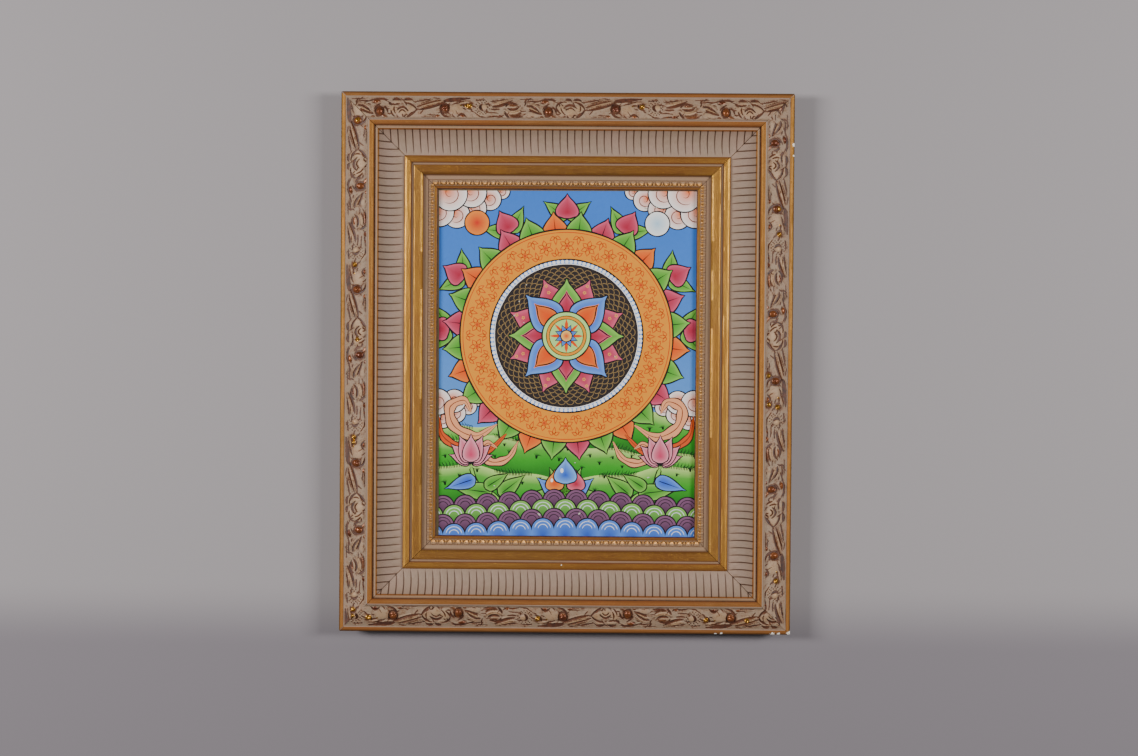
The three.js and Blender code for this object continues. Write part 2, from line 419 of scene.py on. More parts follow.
# Gesso shows white where the rim was knocked: place in the picture's plane, and how far across.
chips = [
    ((189.4, 184), 3.4),
    ((189.5, 175), 2.4),
    ((188.9, -225.9), 4.6),
    ((180, -226.4), 3.4),
    ((175, -226.5), 4.0),
    ((132, -226.5), 3.0),
    ((127, -226.6), 2.4),
    ((-2.6, -169.4), 1.3),
]


def chipped(tree):
    """1 inside a knocked spot, with a ragged edge."""
    place = object_place(tree, (1, 1, 0))
    ragged = new_node(tree, "ShaderNodeTexNoise", {"Vector": place, "Scale": 900.0, "Detail": 2.0})
    ragged = ragged.outputs["Fac"]
    nearest = None
    for (x, y), wide in chips:
        values = {0: place, 1: (x * MM, y * MM, 0)}
        away = new_node(tree, "ShaderNodeVectorMath", values, operation="DISTANCE").outputs["Value"]
        share = divided(away, wide * MM / 2)
        nearest = share if nearest is None else smaller(nearest, share)
    edge = plus(nearest, times(ragged, 1.6))
    return spread(edge, 1.6, 1.75, 1.0, 0.0)


# Greige distemper, brushed across the rail, with the brown wash left in the flutes. Next to the
# gilding it is rubbed with gold and warmer.
greige_dark = linear(118, 94, 74)


def brushed_greige(name, plain, pink):
    """Distemper in two mottled tones."""
    material, tree, shader = finish(name)
    strokes = noise(rail_place(tree, (1, 0.08, 1)), 2600, 4, 0.6, 0.3, 0.7)
    patches = noise(object_place(tree), 38, 4, 0.6, 0.4, 0.62)
    tone = mixed(patches, plain, pink)
    tone = mixed(times(strokes, 0.45), tone, greige_dark)
    groove = spread(attribute(tree, "groove"), 0.1, 0.8)
    into(shader, Base_Color=mixed(groove, tone, linear(74, 48, 34)))
    into(shader, Roughness=0.6, Specular_IOR_Level=0.3)
    bumped(shader, strokes, 0.04)
    return material


greige = brushed_greige("greige distemper", linear(148, 126, 108), linear(155, 129, 113))
rubbed_greige = brushed_greige("rubbed greige", linear(148, 119, 90), linear(152, 118, 92))

# Gilding: bronze leaf over red bole, rubbed through in places and dirty. It is burnished on the
# inner steps, and left duller and browner on the rim, the fillet and the lip.
wash_deep = linear(56, 30, 18)
gesso_white = linear(240, 234, 224)


def gild(name, bright, dark, metal, index, tint, smooth, rough):
    """Bronze leaf in two streaky tones, so metallic and so rough."""
    material, tree, shader = finish(name)
    streaks = noise(rail_place(tree, (0.06, 1, 1)), 900, 5, 0.65, 0.35, 0.7)
    clouds = noise(object_place(tree), 60, 5, 0.65, 0.42, 0.68)
    specks = noise(object_place(tree), 900, 3, 0.6, 0.56, 0.7)
    tarnish = noise(object_place(tree), 14, 3, 0.5, 0.42, 0.66)
    leaf_tone = mixed(streaks, bright, dark)
    leaf_tone = mixed(times(tarnish, 0.5), leaf_tone, linear(138, 76, 46))
    worn = times(times(clouds, streaks), 0.75)
    worn = greater(worn, times(specks, 0.6))
    tone = mixed(worn, leaf_tone, linear(106, 56, 32))
    # The attribute read here darkens the quirks with the brown wash, and the rim's outer edge with painted
    # shade.
    groove = spread(attribute(tree, "groove"), 0.1, 0.5, 0.0, 0.85)
    tone = mixed(groove, tone, wash_deep)
    chip = chipped(tree)
    into(shader, Base_Color=mixed(chip, tone, gesso_white))
    sound = minus(metal, times(worn, 0.3))
    bare = minus(1.0, chip)
    into(shader, Metallic=times(sound, bare))
    spoilt = greater(worn, chip)
    into(shader, Roughness=spread(spoilt, 0, 1, smooth, rough))
    into(shader, IOR=index, Specular_Tint=tint, Anisotropic=0.28, Anisotropic_Rotation=0.25)
    along_rail = new_node(tree, "ShaderNodeTangent", direction_type="UV_MAP", uv_map="rail")
    into(shader, Tangent=along_rail.outputs[0])
    bumped(shader, plus(streaks, times(specks, 0.6)), 0.08)
    return material


# name, bright leaf, dark leaf, metal, index, tint of the shine, roughness when sound and when worn
gilding, inner_gilding, dull_gilding = (gild(*leaf) for leaf in (
    ("gilding over bole", linear(154, 104, 60), linear(128, 74, 46), 0.54, 3.0, (1, 0.7, 0.06), 0.37, 0.62),
    ("inner gilding", linear(142, 94, 58), linear(116, 66, 46), 0.6, 3.0, (1, 0.7, 0.06), 0.37, 0.62),
    ("dull gilding", linear(144, 94, 60), linear(118, 72, 44), 0.35, 1.8, (1, 0.7, 0.03), 0.5, 0.68),
))

# Brown ground: the red-brown that is left bare in the quirks and under the ornament.
brown_ground, tree, shader = finish("red-brown ground")
grime = noise(object_place(tree), 300, 4)
into(shader, Base_Color=mixed(grime, linear(96, 52, 30), wash_deep), Roughness=0.6)
bumped(shader, grime, 0.04)

# Side paint: thin bronze-brown on the outer side, with the wood's grain under it.
side_paint, tree, shader = finish("side paint")
grain = noise(rail_place(tree, (0.03, 1, 1)), 1200, 5)
into(shader, Base_Color=mixed(grain, linear(126, 92, 54), linear(84, 56, 34)), Roughness=0.5, Metallic=0.25)
bumped(shader, grain, 0.08)

# Bare softwood on the back and in the rebate.
bare_wood, tree, shader = finish("bare softwood")
fibre = noise(rail_place(tree, (0.02, 1, 1)), 900, 6, 0.6, 0.3, 0.7)
values = {"Vector": rail_place(tree, (0.05, 1, 1)), "Scale": 60.0, "Distortion": 5.0, "Detail": 3.0}
rings = new_node(tree, "ShaderNodeTexWave", values, bands_direction="Y").outputs["Fac"]
pale_wood = mixed(fibre, linear(206, 172, 128), linear(182, 142, 98))
into(shader, Base_Color=mixed(spread(rings, 0.5, 1, 0, 0.5), pale_wood, linear(150, 104, 62)))
into(shader, Roughness=0.72)
bumped(shader, fibre, 0.06)

coats = {
    "greige": greige,
    "rubbed greige": rubbed_greige,
    "gilding": gilding,
    "inner gilding": inner_gilding,
    "dull gilding": dull_gilding,
    "brown ground": brown_ground,
    "side paint": side_paint,
    "bare wood": bare_wood,
}


def flute_columns(length):
    """Places along a rail: close together over each flute, and one between each pair."""
    offsets = np.array([-0.62, -0.3, 0, 0.3, 0.62]) * flute_width
    centres = flute_centres(length)
    inner = (centres[:, None] + offsets).ravel()
    between = centres[:-1] + flute_pitch / 2
    ends = np.linspace(0, inner.min() - 2, 12)
    return np.sort(np.concatenate([inner, between, ends, length - ends]))


for rail in rails:
    name, cad_node, length, *_ = rail
    columns = flute_columns(length)
    rail_piece, face_rows = mitred_bar(name.replace(" ", "_"), rail, section, columns, press_flutes(length))
    for coat in coats.values():
        rail_piece.data.materials.append(coat)
    slots = [list(coats).index(section_coats[row]) for row in face_rows]
    rail_piece.data.polygons.foreach_set("material_index", slots)
    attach(rail_piece, "root")
    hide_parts(cad_node)

# Ornament band: a pressed strip of gesso relief glued on the moulding's outer slope, of roses,
# leaves, berries and scrolls that run clockwise. It is painted greige, and a red-brown wash is
# wiped off its high parts, so that it stays in the hollows and on the berries. The hollows round
# the raised forms are darkened further with painted shade.
band_span = (5.0, 24.0)
band_step = (0.42, 0.38)
band_tilt = radians(27)
repeat = 143.0  # from one rose to the next
# Where the roses' middles lie along each rail, clockwise from its first corner.
rose_places = {
    "top rail": (52, 192, 341),
    "right rail": (61, 203, 350),
    "bottom rail": (15, 155, 297),
    "left rail": (105, 252, 392),
}
first_is_upright = {"top rail": True, "right rail": True, "bottom rail": False, "left rail": False}

# Strokes are arcs through three points, tapered at both ends: places along the band from the
# rose's middle and across it, the width at the middle, and the height. A negative height is a
# cut, which keeps the wash. berry is how much of the wash stays on a raised form.
shared_strokes = [
    # a0, c0, a1, c1, a2, c2, wide, high, berry
    (12.5, 12.2, 20, 10.4, 30, 7.4, 3.4, 1.0, 0),  # double leaf
    (13, 14.8, 24, 13.6, 36, 8.6, 3.4, 1.2, 0),
    (12.5, 13.6, 19, 12.2, 29, 8.3, 1.1, -1.2, 0),
    (13.5, 16.4, 26, 14.8, 36.5, 9.4, 1.5, -1.3, 0),
    (16, 11.0, 20, 9.6, 26, 7.6, 0.7, -0.8, 0),
    (10, 9.3, 16, 8.4, 24, 6.6, 0.8, -0.8, 0),
    (35.5, 8.4, 41, 6.9, 57, 5.9, 3.2, -1.5, 0),  # hollow along the rim
    (33.2, 16.5, 33.4, 21.8, 41.5, 23.2, 1.2, -1.1, 0),  # the berry's stem
    (35.6, 20.0, 37.5, 22.2, 43, 22.2, 1.6, 0.8, 0),
    (17, 22.4, 23, 23.8, 29, 22.8, 0.9, -0.9, 0),  # small leaf below
    (22, 20.4, 26, 21.4, 29, 20.4, 0.7, -0.7, 0),
    (18, 21.2, 24, 22.4, 29, 21.4, 1.8, 0.7, 0),
    (28.6, 22.0, 30.3, 21.4, 32.2, 22.0, 2.0, 0.7, 0.9),
    (47.5, 22.0, 51.2, 17.8, 54.8, 22.4, 1.0, -1.0, 0),  # hook
    (49.6, 22.0, 51.4, 21.2, 53.2, 22.2, 2.4, 0.9, 1),
    (42.5, 12.0, 46, 9.8, 49, 10.4, 0.8, -0.8, 0),
    (48, 10.4, 53, 9.0, 58, 9.8, 2.2, 0.9, 0),
    (46, 11.2, 51, 8.2, 57.5, 8.0, 0.9, -1.0, 0),
    (54.4, 11.0, 54.9, 15.2, 59.4, 15.8, 1.5, -1.4, 0),
    (62.5, 8.0, 66, 6.9, 71, 7.2, 0.7, -0.8, 0),
    (68.2, 11.0, 64.8, 13.9, 68.9, 17.0, 1.5, -1.4, 0),  # stippled flower's crescent
    (76, 10.6, 84, 11.4, 93.5, 6.4, 3.6, 1.2, 0),  # scroll leaf
    (75, 8.4, 82, 9.2, 91, 6.4, 1.2, -1.2, 0),
    (77, 13.4, 85, 13.8, 93.5, 7.6, 1.7, -1.5, 0),
    (75.5, 15.4, 79, 16.2, 83, 15.4, 0.9, -0.8, 0),
    (72, 18.8, 77, 18.2, 82, 19.0, 0.6, -0.5, 0),
    (76, 22.3, 77.5, 21.9, 79, 22.4, 1.3, 0.6, 1),
    (81.6, 22.3, 83.4, 21.2, 85.4, 22.3, 1.6, 0.8, 1),
    (72.5, 22.9, 78, 21.0, 86, 22.5, 0.8, -0.8, 0),
    (88.3, 13.4, 90.6, 8.7, 98.6, 11.4, 1.4, -1.4, 0),  # peony
    (90, 14.8, 94.5, 17.9, 99.6, 13.8, 1.6, -1.4, 0),
    (91.2, 12.9, 94.6, 12.0, 98.2, 12.8, 2.4, 0.8, 0.8),
    (92.4, 15.0, 95, 15.8, 97.6, 14.6, 0.8, 0.7, 0.5),
    (87, 16.0, 95, 22.2, 103, 14.6, 3.0, 1.2, 0),
    (90.8, 21.3, 96.5, 23.2, 102.4, 20.6, 2.1, 0.8, 0.8),
    (87.4, 17.6, 88.6, 21.0, 91.4, 22.9, 1.2, -1.2, 0),
    (90, 23.2, 96, 24.0, 103, 21.6, 0.9, -1.0, 0),
    (104, 12.5, 105.5, 10.5, 104.6, 8.4, 0.7, -0.7, 0),
    (106.5, 14.1, 111, 15.4, 118.4, 19.2, 2.2, 1.3, 0),  # forked leaf
    (106, 10.9, 112, 10.6, 117.8, 15.4, 2.0, 0.9, 0),
    (106, 12.6, 111, 12.4, 116.8, 18.0, 1.7, -1.5, 0),
    (108.4, 15.8, 112, 18.6, 119, 20.0, 1.2, -1.2, 0),
    (110, 12.8, 112.4, 13.6, 114.8, 15.6, 0.9, 0.7, 0.7),
    (104, 9.3, 110, 7.8, 118, 9.0, 0.8, -0.8, 0),
    (111, 10.1, 116, 8.4, 121, 6.6, 0.7, -0.8, 0),
    (100, 6.8, 106, 6.2, 113, 6.9, 0.6, -0.7, 0),
    (118.6, 7.6, 124, 6.0, 131, 7.6, 1.4, -1.3, 0),  # berries
    (119.0, 9.4, 121.4, 8.6, 124.2, 9.2, 3.4, 1.1, 1),
    (125.6, 20.0, 127.5, 22.0, 131, 22.8, 2.0, 0.7, 0.8),
    (119.8, 15.6, 121.4, 12.8, 125.2, 10.6, 0.8, -0.9, 0),
    (117.4, 22.6, 118.8, 22.0, 120.4, 22.7, 1.4, 0.6, 0.9),
    (128, 13.0, 131, 15.2, 131.2, 18.8, 0.9, -0.9, 0),
    (132, 9.6, 134.5, 11.0, 134, 13.4, 0.7, -0.7, 0),
]
upright_rose = [
    (-8.2, 7.8, -5, 6.3, -1.6, 8.0, 2.1, -1.5, 0),
    (1.4, 8.0, 4.8, 6.3, 8.4, 7.8, 2.1, -1.5, 0),
    (-11, 10.2, -8, 13.2, -2.2, 11.0, 1.2, -1.2, 0),
    (-11.2, 10.2, -10, 11.0, -8.8, 12.2, 1.7, -1.2, 0),
    (1.8, 10.2, 8.4, 10.8, 12.4, 16.2, 1.3, -1.2, 0),
    (12.4, 16.2, 9, 20.2, 3.4, 23.4, 1.2, -1.2, 0),
    (-3.8, 17.0, 0.2, 11.4, 4.9, 17.4, 1.5, -1.4, 0),
    (-2.4, 19.2, 0.2, 14.6, 3.0, 19.0, 1.1, -1.1, 0),
    (-9.2, 17.2, -8.6, 20.4, -6.2, 22.0, 1.0, -0.9, 0),
    (-6.4, 13.8, -7.2, 16.6, -5.4, 19.8, 0.9, -0.8, 0),
    (-3.8, 22.2, -3, 23.2, -1.8, 23.4, 0.8, -0.7, 0),
    (0.6, 20.4, 1.1, 21.4, 0.8, 22.6, 0.8, -0.7, 0),
]
tilted_rose = [
    (-3.8, 7.4, -1.4, 6.0, 1.0, 7.6, 1.9, -1.4, 0),
    (2.8, 7.6, 6, 6.2, 9.0, 7.6, 1.9, -1.4, 0),
    (-11.6, 13.6, -9.6, 8.0, -3, 9.4, 1.2, -1.2, 0),
    (-11.6, 14.0, -10.6, 17.4, -7.4, 19.6, 1.0, -1.0, 0),
    (3.0, 9.4, 9.8, 9.6, 12.2, 15.8, 1.3, -1.2, 0),
    (12.2, 16.0, 10, 20.2, 4.6, 23.4, 1.3, -1.2, 0),
    (-5.2, 14.6, 0.4, 8.6, 5.6, 15.0, 1.3, -1.3, 0),
    (-3.4, 16.8, 0.4, 12.2, 4.0, 17.0, 1.0, -1.0, 0),
    (-7.6, 14.6, -7.2, 18.4, -3.6, 20.4, 0.8, -0.8, 0),
    (-2.6, 21.0, -2.0, 22.8, -0.4, 23.2, 0.8, -0.7, 0),
    (8.2, 13.0, 9.4, 15.4, 8.0, 18.0, 0.8, -0.7, 0),
]
# Domes: place along and across, half length, half width, height, berry, gilt, ring cut round it.
shared_domes = [
    (36.4, 15.0, 3.1, 3.5, 1.9, 1.0, 0.0, 1),
    (50.0, 12.9, 0.9, 0.9, 0.8, 0.2, 1.0, 0),
    (57.6, 13.3, 2.6, 2.1, 1.6, 0.6, 0.7, 0),
    (46.0, 16.0, 7.0, 5.5, 0.8, 0.0, 0.0, 0),
    (69.9, 14.0, 2.7, 2.7, 1.1, 0.0, 0.0, 0),
    (94.6, 14.0, 6.5, 4.5, 0.6, 0.0, 0.0, 0),
    (124.4, 17.6, 2.9, 3.4, 1.9, 1.0, 0.0, 1),
    (66.0, 20.0, 6.0, 3.4, 0.5, 0.0, 0.0, 0),
    (111.0, 20.4, 5.5, 2.6, 0.6, 0.0, 0.0, 0),
    (4.0, 22.0, 1.4, 1.3, 0.7, 0.3, 0.0, 1),
]
rose_domes = [
    (0.4, 18.0, 5.6, 5.0, 0.9, 0.0, 0.0, 0),
    (-7.0, 16.0, 4.6, 6.0, 0.8, 0.0, 0.0, 0),
    (7.6, 15.6, 5.0, 5.0, 0.8, 0.0, 0.0, 0),
    (-4.4, 9.6, 4.4, 2.2, 0.7, 0.0, 0.0, 0),
    (4.8, 9.4, 4.8, 2.2, 0.7, 0.0, 0.0, 0),
]
# Berries and beads whose gilding is rubbed bright: rail, place along, place across.
bright_beads = {
    "top rail": [(14, 17), (106, 13)],
    "right rail": [(236, 21.5), (260, 21), (97, 14)],
    "bottom rail": [(37, 13), (353, 13)],
    "left rail": [(14, 13), (160, 13), (246, 16), (429, 16)],
}


class Relief:
    """The band's relief on a grid of places along and across it, in millimetres."""

    def __init__(self, along, across):
        self.along, self.across = along, across
        self.places = along[0], across[:, 0]
        self.raised = np.zeros(along.shape)
        self.cut = np.zeros(along.shape)
        self.berry = np.zeros(along.shape)
        self.gilt = np.zeros(along.shape)

    def window(self, low, high):
        """The part of the grid between two places along it."""
        first, last = np.searchsorted(self.places[0], (low, high))
        return slice(None), slice(first, last)

    def stroke(self, points, wide, high, berry):
        """An arc through three points as a tapered ridge or cut."""
        (a0, c0), (a1, c1), (a2, c2) = points
        part = self.window(min(a0, a1, a2) - 4, max(a0, a1, a2) + 4)
        along, across = self.along[part], self.across[part]
        if not along.size:
            return
        closest = np.full(along.shape, 1e9)
        share_there = np.zeros(along.shape)
        shares = np.linspace(0, 1, 9 if abs(a2 - a0) < 6 else 33)
        a = (1 - shares) ** 2 * a0 + 2 * shares * (1 - shares) * a1 + shares**2 * a2
        c = (1 - shares) ** 2 * c0 + 2 * shares * (1 - shares) * c1 + shares**2 * c2
        for i in range(len(shares) - 1):
            da, dc = a[i + 1] - a[i], c[i + 1] - c[i]
            t = np.clip(((along - a[i]) * da + (across - c[i]) * dc) / (da * da + dc * dc + 1e-9), 0, 1)
            away = np.hypot(along - a[i] - t * da, across - c[i] - t * dc)
            nearer = away < closest
            closest = np.where(nearer, away, closest)
            share_there = np.where(nearer, shares[i] + t * shares[1], share_there)
        wide *= 1.15 if high > 0 else 1.35
        taper = np.sin(np.clip(share_there, 0.03, 0.97) * pi) ** 0.6
        form = np.clip(1 - (closest / (wide / 2 * taper + 0.12)) ** 2, 0, 1)
        if high > 0 and wide > 1.8:
            vein = np.exp(-((closest / 0.34) ** 2)) * (form > 0.3) * (1 - berry)
            self.cut[part] = np.maximum(self.cut[part], vein * 0.5)
        if high > 0:
            self.raised[part] = np.maximum(self.raised[part], form**0.6 * high * (0.5 + 0.5 * taper))
            self.berry[part] = np.maximum(self.berry[part], (form > 0.1) * berry * form**0.3)
        else:
            self.cut[part] = np.maximum(self.cut[part], form**0.8 * -high)
            lip = np.clip(1 - np.abs(closest - wide / 2 * taper - 0.55) / 0.6, 0, 1)
            self.raised[part] = np.maximum(self.raised[part], lip * -high * 0.45 * taper)

    def dome(self, a, c, long, wide, high, berry, gilt, ring):
        """A low dome on an oval foot, with a cut round it or none."""
        part = self.window(a - long - 3, a + long + 3)
        away = np.hypot((self.along[part] - a) / long, (self.across[part] - c) / wide)
        form = np.sqrt(np.clip(1 - away**2, 0, 1))
        self.raised[part] = np.maximum(self.raised[part], form * high)
        self.berry[part] = np.maximum(self.berry[part], np.clip((1.05 - away) * 6, 0, 1) * berry)
        self.gilt[part] = np.maximum(self.gilt[part], np.clip((1 - away) * 4, 0, 1) * gilt)
        if ring:
            beside = np.clip(1 - np.abs(away - 1.16) / 0.2, 0, 1)
            self.cut[part] = np.maximum(self.cut[part], beside * 1.1)


def band_relief(name, along, across):
    """One rail's relief: the repeat set out between its roses."""
    relief = Relief(along, across)
    places = rose_places[name]
    before = [places[0] - 2 * repeat, places[0] - repeat]
    places = [*before, *places, places[-1] + repeat, places[-1] + 2 * repeat]
    for i, rose in enumerate(places[:-1]):
        pace = (places[i + 1] - rose) / repeat
        upright = (i % 2 == 0) == first_is_upright[name]
        rose_forms = (upright_rose if upright else tilted_rose, rose_domes, 1)
        for strokes, domes, stretch in (rose_forms, (shared_strokes, shared_domes, pace)):
            for *arc, wide, high, berry in strokes:
                points = [(rose + a * stretch, c) for a, c in zip(arc[::2], arc[1::2])]
                relief.stroke(points, wide, high, berry)
            for a, *rest in domes:
                relief.dome(rose + a * stretch, *rest)
        # Small tooled cuts that fill the ground between the forms, and follow their sweep.
        for k in range(56):
            a = (k // 4) * 10.2 + 3.4 * sin(k * 2.4)
            c = 7.4 + (k % 4) * 4.5 + 1.5 * sin(k * 5.1)
            lean = 0.55 * sin(a / repeat * 4 * pi + c / 6) + 0.4 * sin(k * 1.7)
            half = 2.2 + 1.0 * sin(k * 3.3)
            bow = 0.7 * sin(k * 4.7)
            points = [
                (rose + (a - half * cos(lean)) * pace, c - half * sin(lean)),
                (rose + (a - bow * sin(lean)) * pace, c + bow * cos(lean)),
                (rose + (a + half * cos(lean)) * pace, c + half * sin(lean)),
            ]
            relief.stroke(points, 0.62 + 0.2 * sin(k * 1.3), -0.62 - 0.2 * sin(k * 2.9), 0)
        # The stippled flower: two rings of punched dots.
        for ring, (radius, count) in enumerate(((4.4, 11), (5.9, 15))):
            for k in range(count):
                turn = 2 * pi * (k + 0.5 * ring) / count
                a = rose + 68.4 * pace + radius * cos(turn)
                c = 13.8 + radius * 1.05 * sin(turn)
                if c > 6:
                    relief.stroke([(a - 0.2, c), (a, c + 0.1), (a + 0.2, c)], 1.0, -0.8, 0)
    for a, c in bright_beads[name]:
        relief.dome(a, c, 2.2, 2.0, 1.7, 0.4, 1.0, 0)
    return relief


def smeared(grid, reach):
    """A grid with each value averaged over its neighbours, so many to each side."""
    for axis in (0, 1):
        pad = [(reach, reach) if k == axis else (0, 0) for k in (0, 1)]
        total = np.cumsum(np.pad(grid, pad, mode="edge"), axis)
        first = np.take(total, np.arange(0, grid.shape[axis]), axis)
        last = np.take(total, np.arange(2 * reach, grid.shape[axis] + 2 * reach), axis)
        grid = (last - first) / (2 * reach)
    return grid


def carve_band(name):
    """Raises the relief off the strip's face, and records where the wash, the painted shade of
    its hollows and the gilt lie.
    """

    def carve(along, across, high):
        places, over = along[1:-1], across[1:-1]
        relief = band_relief(name, places, over)
        grain = np.sin(places * 2.1 + over * 1.3) * np.sin(over * 2.7 - places * 0.9)
        face = relief.raised * 1.2 - relief.cut + 0.05 * grain
        # Painted shade: a place is darkened by how far the relief round it stands higher, and this joins the
        # wash in the cuts.
        hollow = np.clip((smeared(face, 7) - face - 0.04) / 0.3, 0, 1)
        wide_painted_shade = np.clip((smeared(face, 15) - smeared(face, 3) - 0.08) / 0.9, 0, 0.5)
        edge = np.clip(np.minimum(over - band_span[0], band_span[1] - over), 0, 1)
        wash = np.clip(relief.cut / 1.1 + 0.8 * np.maximum(hollow, wide_painted_shade) + 0.12 * grain, 0, 1)
        layers = {
            "wash": wash * np.clip(edge + 0.3, 0, 1),
            "berry": relief.berry * edge,
            "gilt": relief.gilt * edge,
            "rise": face * edge,
        }
        layers = {layer: np.pad(values, ((1, 1), (0, 0))) for layer, values in layers.items()}
        lift = layers["rise"]
        return along, across - lift * sin(band_tilt), high + lift * cos(band_tilt), layers

    return carve


# Wiped greige: the distemper on the relief, the wash in its hollows with painted shade added,
# rubbed gilt on beads, and a lighter tint on its crests, partly rubbed gilt and partly painted
# highlight.
wiped_greige, tree, shader = finish("wiped greige")
patches = noise(object_place(tree), 70, 4, 0.6, 0.4, 0.62)
fine = noise(object_place(tree), 900, 4, 0.65, 0.3, 0.7)
tone = mixed(patches, linear(154, 132, 110), linear(158, 132, 111))
tone = mixed(times(fine, 0.45), tone, greige_dark)
clumps = noise(object_place(tree), 240, 4, 0.6, 0.45, 0.7)
# The wash read here holds the wash in the cuts and the painted shade of the hollows.
hollow = plus(attribute(tree, "wash"), times(fine, 0.25))
hollow = spread(plus(hollow, times(clumps, 0.2)), 0.22, 0.8)
# Painted highlight: the crests are tinted a lighter gold-tan, partly rubbed gilt and partly painted light on
# the high parts.
crest = spread(attribute(tree, "rise"), 0.35, 1.3, 0.0, 0.6)
tone = mixed(crest, tone, linear(184, 146, 104))
tone = mixed(times(clumps, 0.32), tone, linear(150, 100, 60))
wash_tone = mixed(fine, linear(108, 58, 27), linear(54, 27, 14))
tone = mixed(hollow, tone, wash_tone)
berry = spread(minus(attribute(tree, "berry"), times(fine, 0.3)), 0.1, 0.7)
tone = mixed(berry, tone, mixed(patches, linear(86, 43, 27), linear(124, 70, 36)))
gilt = spread(attribute(tree, "gilt"), 0.2, 0.7)
tone = mixed(gilt, tone, linear(168, 120, 48))
into(shader, Base_Color=tone)
glint = greater(times(gilt, 0.85), times(berry, 0.35))
into(shader, Metallic=greater(glint, times(crest, 0.15)))
gloss = greater(times(greater(berry, gilt), 1.4), crest)
into(shader, Roughness=spread(gloss, 0, 1.4, 0.6, 0.26))
into(shader, Specular_IOR_Level=0.25)
bumped(shader, fine, 0.05)

strip_over, strip_deep, strip_gap = 0.35, 1.5, 0.04
for rail in rails:
    name, _, length, *_ = rail
    inside = np.arange(band_span[0], band_span[1] + 0.01, band_step[1])
    top = np.stack([inside, surface_height(inside) + strip_over], -1)
    under = np.array([[band_span[0], top[0, 1] - strip_deep]])
    under_in = np.array([[band_span[1], top[-1, 1] - strip_deep]])
    rows = np.concatenate([under, top, under_in])
    columns = np.arange(0, length + band_step[0], band_step[0])
    piece_name = name.split()[0] + "_ornament"
    ornament, _ = mitred_bar(piece_name, rail, rows, columns, carve_band(name), 60, strip_gap)
    ornament.data.materials.append(wiped_greige)
    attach(ornament, "root")

# Leaf edging: a row of small pressed leaves with a dart between each pair, along the strip next
# to the lip. They are greige where they start, with the wash between them, and gilded at the tips.
leaf_pitch = 6.85
edging_middle = 75.7


def pressed_form(long, wide, high, steps, outline, profile, gilt_from):
    """A small raised form on the origin, pointing along y: a closed mesh with its gilt and wash."""
    points, gilt, wash = [], [], []
    for t in np.linspace(0, 1, steps):
        for s in np.linspace(-1, 1, steps):
            half = wide / 2 * outline(t)
            lift = profile(s, t) * (1 - abs(2 * t - 1) ** 6) * (1 - abs(s) ** 6)
            points.append((s * half, (t - 0.5) * long, high * lift - 0.35))
            gilt.append(min(1, max(0, (t - gilt_from) * 4)) * (0.4 + 0.6 * lift))
            wash.append(max(0, 0.7 - lift * 1.3, 0.5 - t * 5))
    faces = []
    for i in range(steps - 1):
        for j in range(steps - 1):
            k = i * steps + j
            faces.append((k, k + 1, k + steps + 1, k + steps))
    last = steps - 1
    rim = list(range(steps)) + [i * steps + last for i in range(1, steps)]
    rim += [last * steps + j for j in range(last - 1, -1, -1)] + [i * steps for i in range(last - 1, 0, -1)]
    faces.append(tuple(reversed(rim)))
    made = plain_mesh("pressed form", points, faces, 50)
    for layer, values in (("gilt", gilt), ("wash", wash)):
        made.data.attributes.new(layer, "FLOAT", "POINT").data.foreach_set("value", values)
    return made


leaf_shape = pressed_form(
    5.0, 5.6, 1.5, 9,
    lambda t: sqrt(max(0.0, 1 - (2 * t - 1) ** 4)) * (1 - 0.25 * t) + 0.02,
    lambda s, t: 0.62 + 0.38 * abs(s) ** 1.5 - 0.25 * exp(-((s / 0.12) ** 2)),
    0.3,
)
dart_shape = pressed_form(
    4.8, 2.2, 1.3, 7,
    lambda t: 0.35 + 0.65 * sin(min(1, max(0, (t - 0.35) * 1.6)) * pi) ** 0.7,
    lambda s, t: 0.45 + 0.55 * t,
    0.3,
)


def row_tree():
    """Geometry nodes that set leaves and darts on the row's points and turn them to its facing."""
    tree = bpy.data.node_groups.new("edging row", "GeometryNodeTree")
    sockets = (
        ("Geometry", "INPUT", "NodeSocketGeometry"),
        ("Leaf", "INPUT", "NodeSocketObject"),
        ("Dart", "INPUT", "NodeSocketObject"),
        ("Size", "INPUT", "NodeSocketFloat"),
        ("Material", "INPUT", "NodeSocketMaterial"),
        ("Geometry", "OUTPUT", "NodeSocketGeometry"),
    )
    for label, side, kind in sockets:
        tree.interface.new_socket(label, in_out=side, socket_type=kind)
    given = tree.nodes.new("NodeGroupInput").outputs
    facing, is_dart = (
        new_node(tree, "GeometryNodeInputNamedAttribute", {"Name": kept}, data_type=kind).outputs["Attribute"]
        for kept, kind in (("facing", "FLOAT_VECTOR"), ("is_dart", "BOOLEAN"))
    )
    is_leaf = new_node(tree, "FunctionNodeBooleanMath", {0: is_dart}, operation="NOT").outputs[0]
    rows = []
    for form, chosen in (("Leaf", is_leaf), ("Dart", is_dart)):
        shape = new_node(tree, "GeometryNodeObjectInfo", {"Object": given[form]}).outputs["Geometry"]
        values = {"Points": given["Geometry"], "Selection": chosen, "Instance": shape}
        values |= {"Rotation": facing, "Scale": given["Size"]}
        rows.append(new_node(tree, "GeometryNodeInstanceOnPoints", values).outputs[0])
    joined = tree.nodes.new("GeometryNodeJoinGeometry")
    for row in rows:
        tree.links.new(row, joined.inputs[0])
    real = new_node(tree, "GeometryNodeRealizeInstances", {"Geometry": joined.outputs[0]}).outputs[0]
    coated = new_node(tree, "GeometryNodeSetMaterial", {"Geometry": real, "Material": given["Material"]})
    new_node(tree, "NodeGroupOutput", {"Geometry": coated.outputs[0]})
    return tree


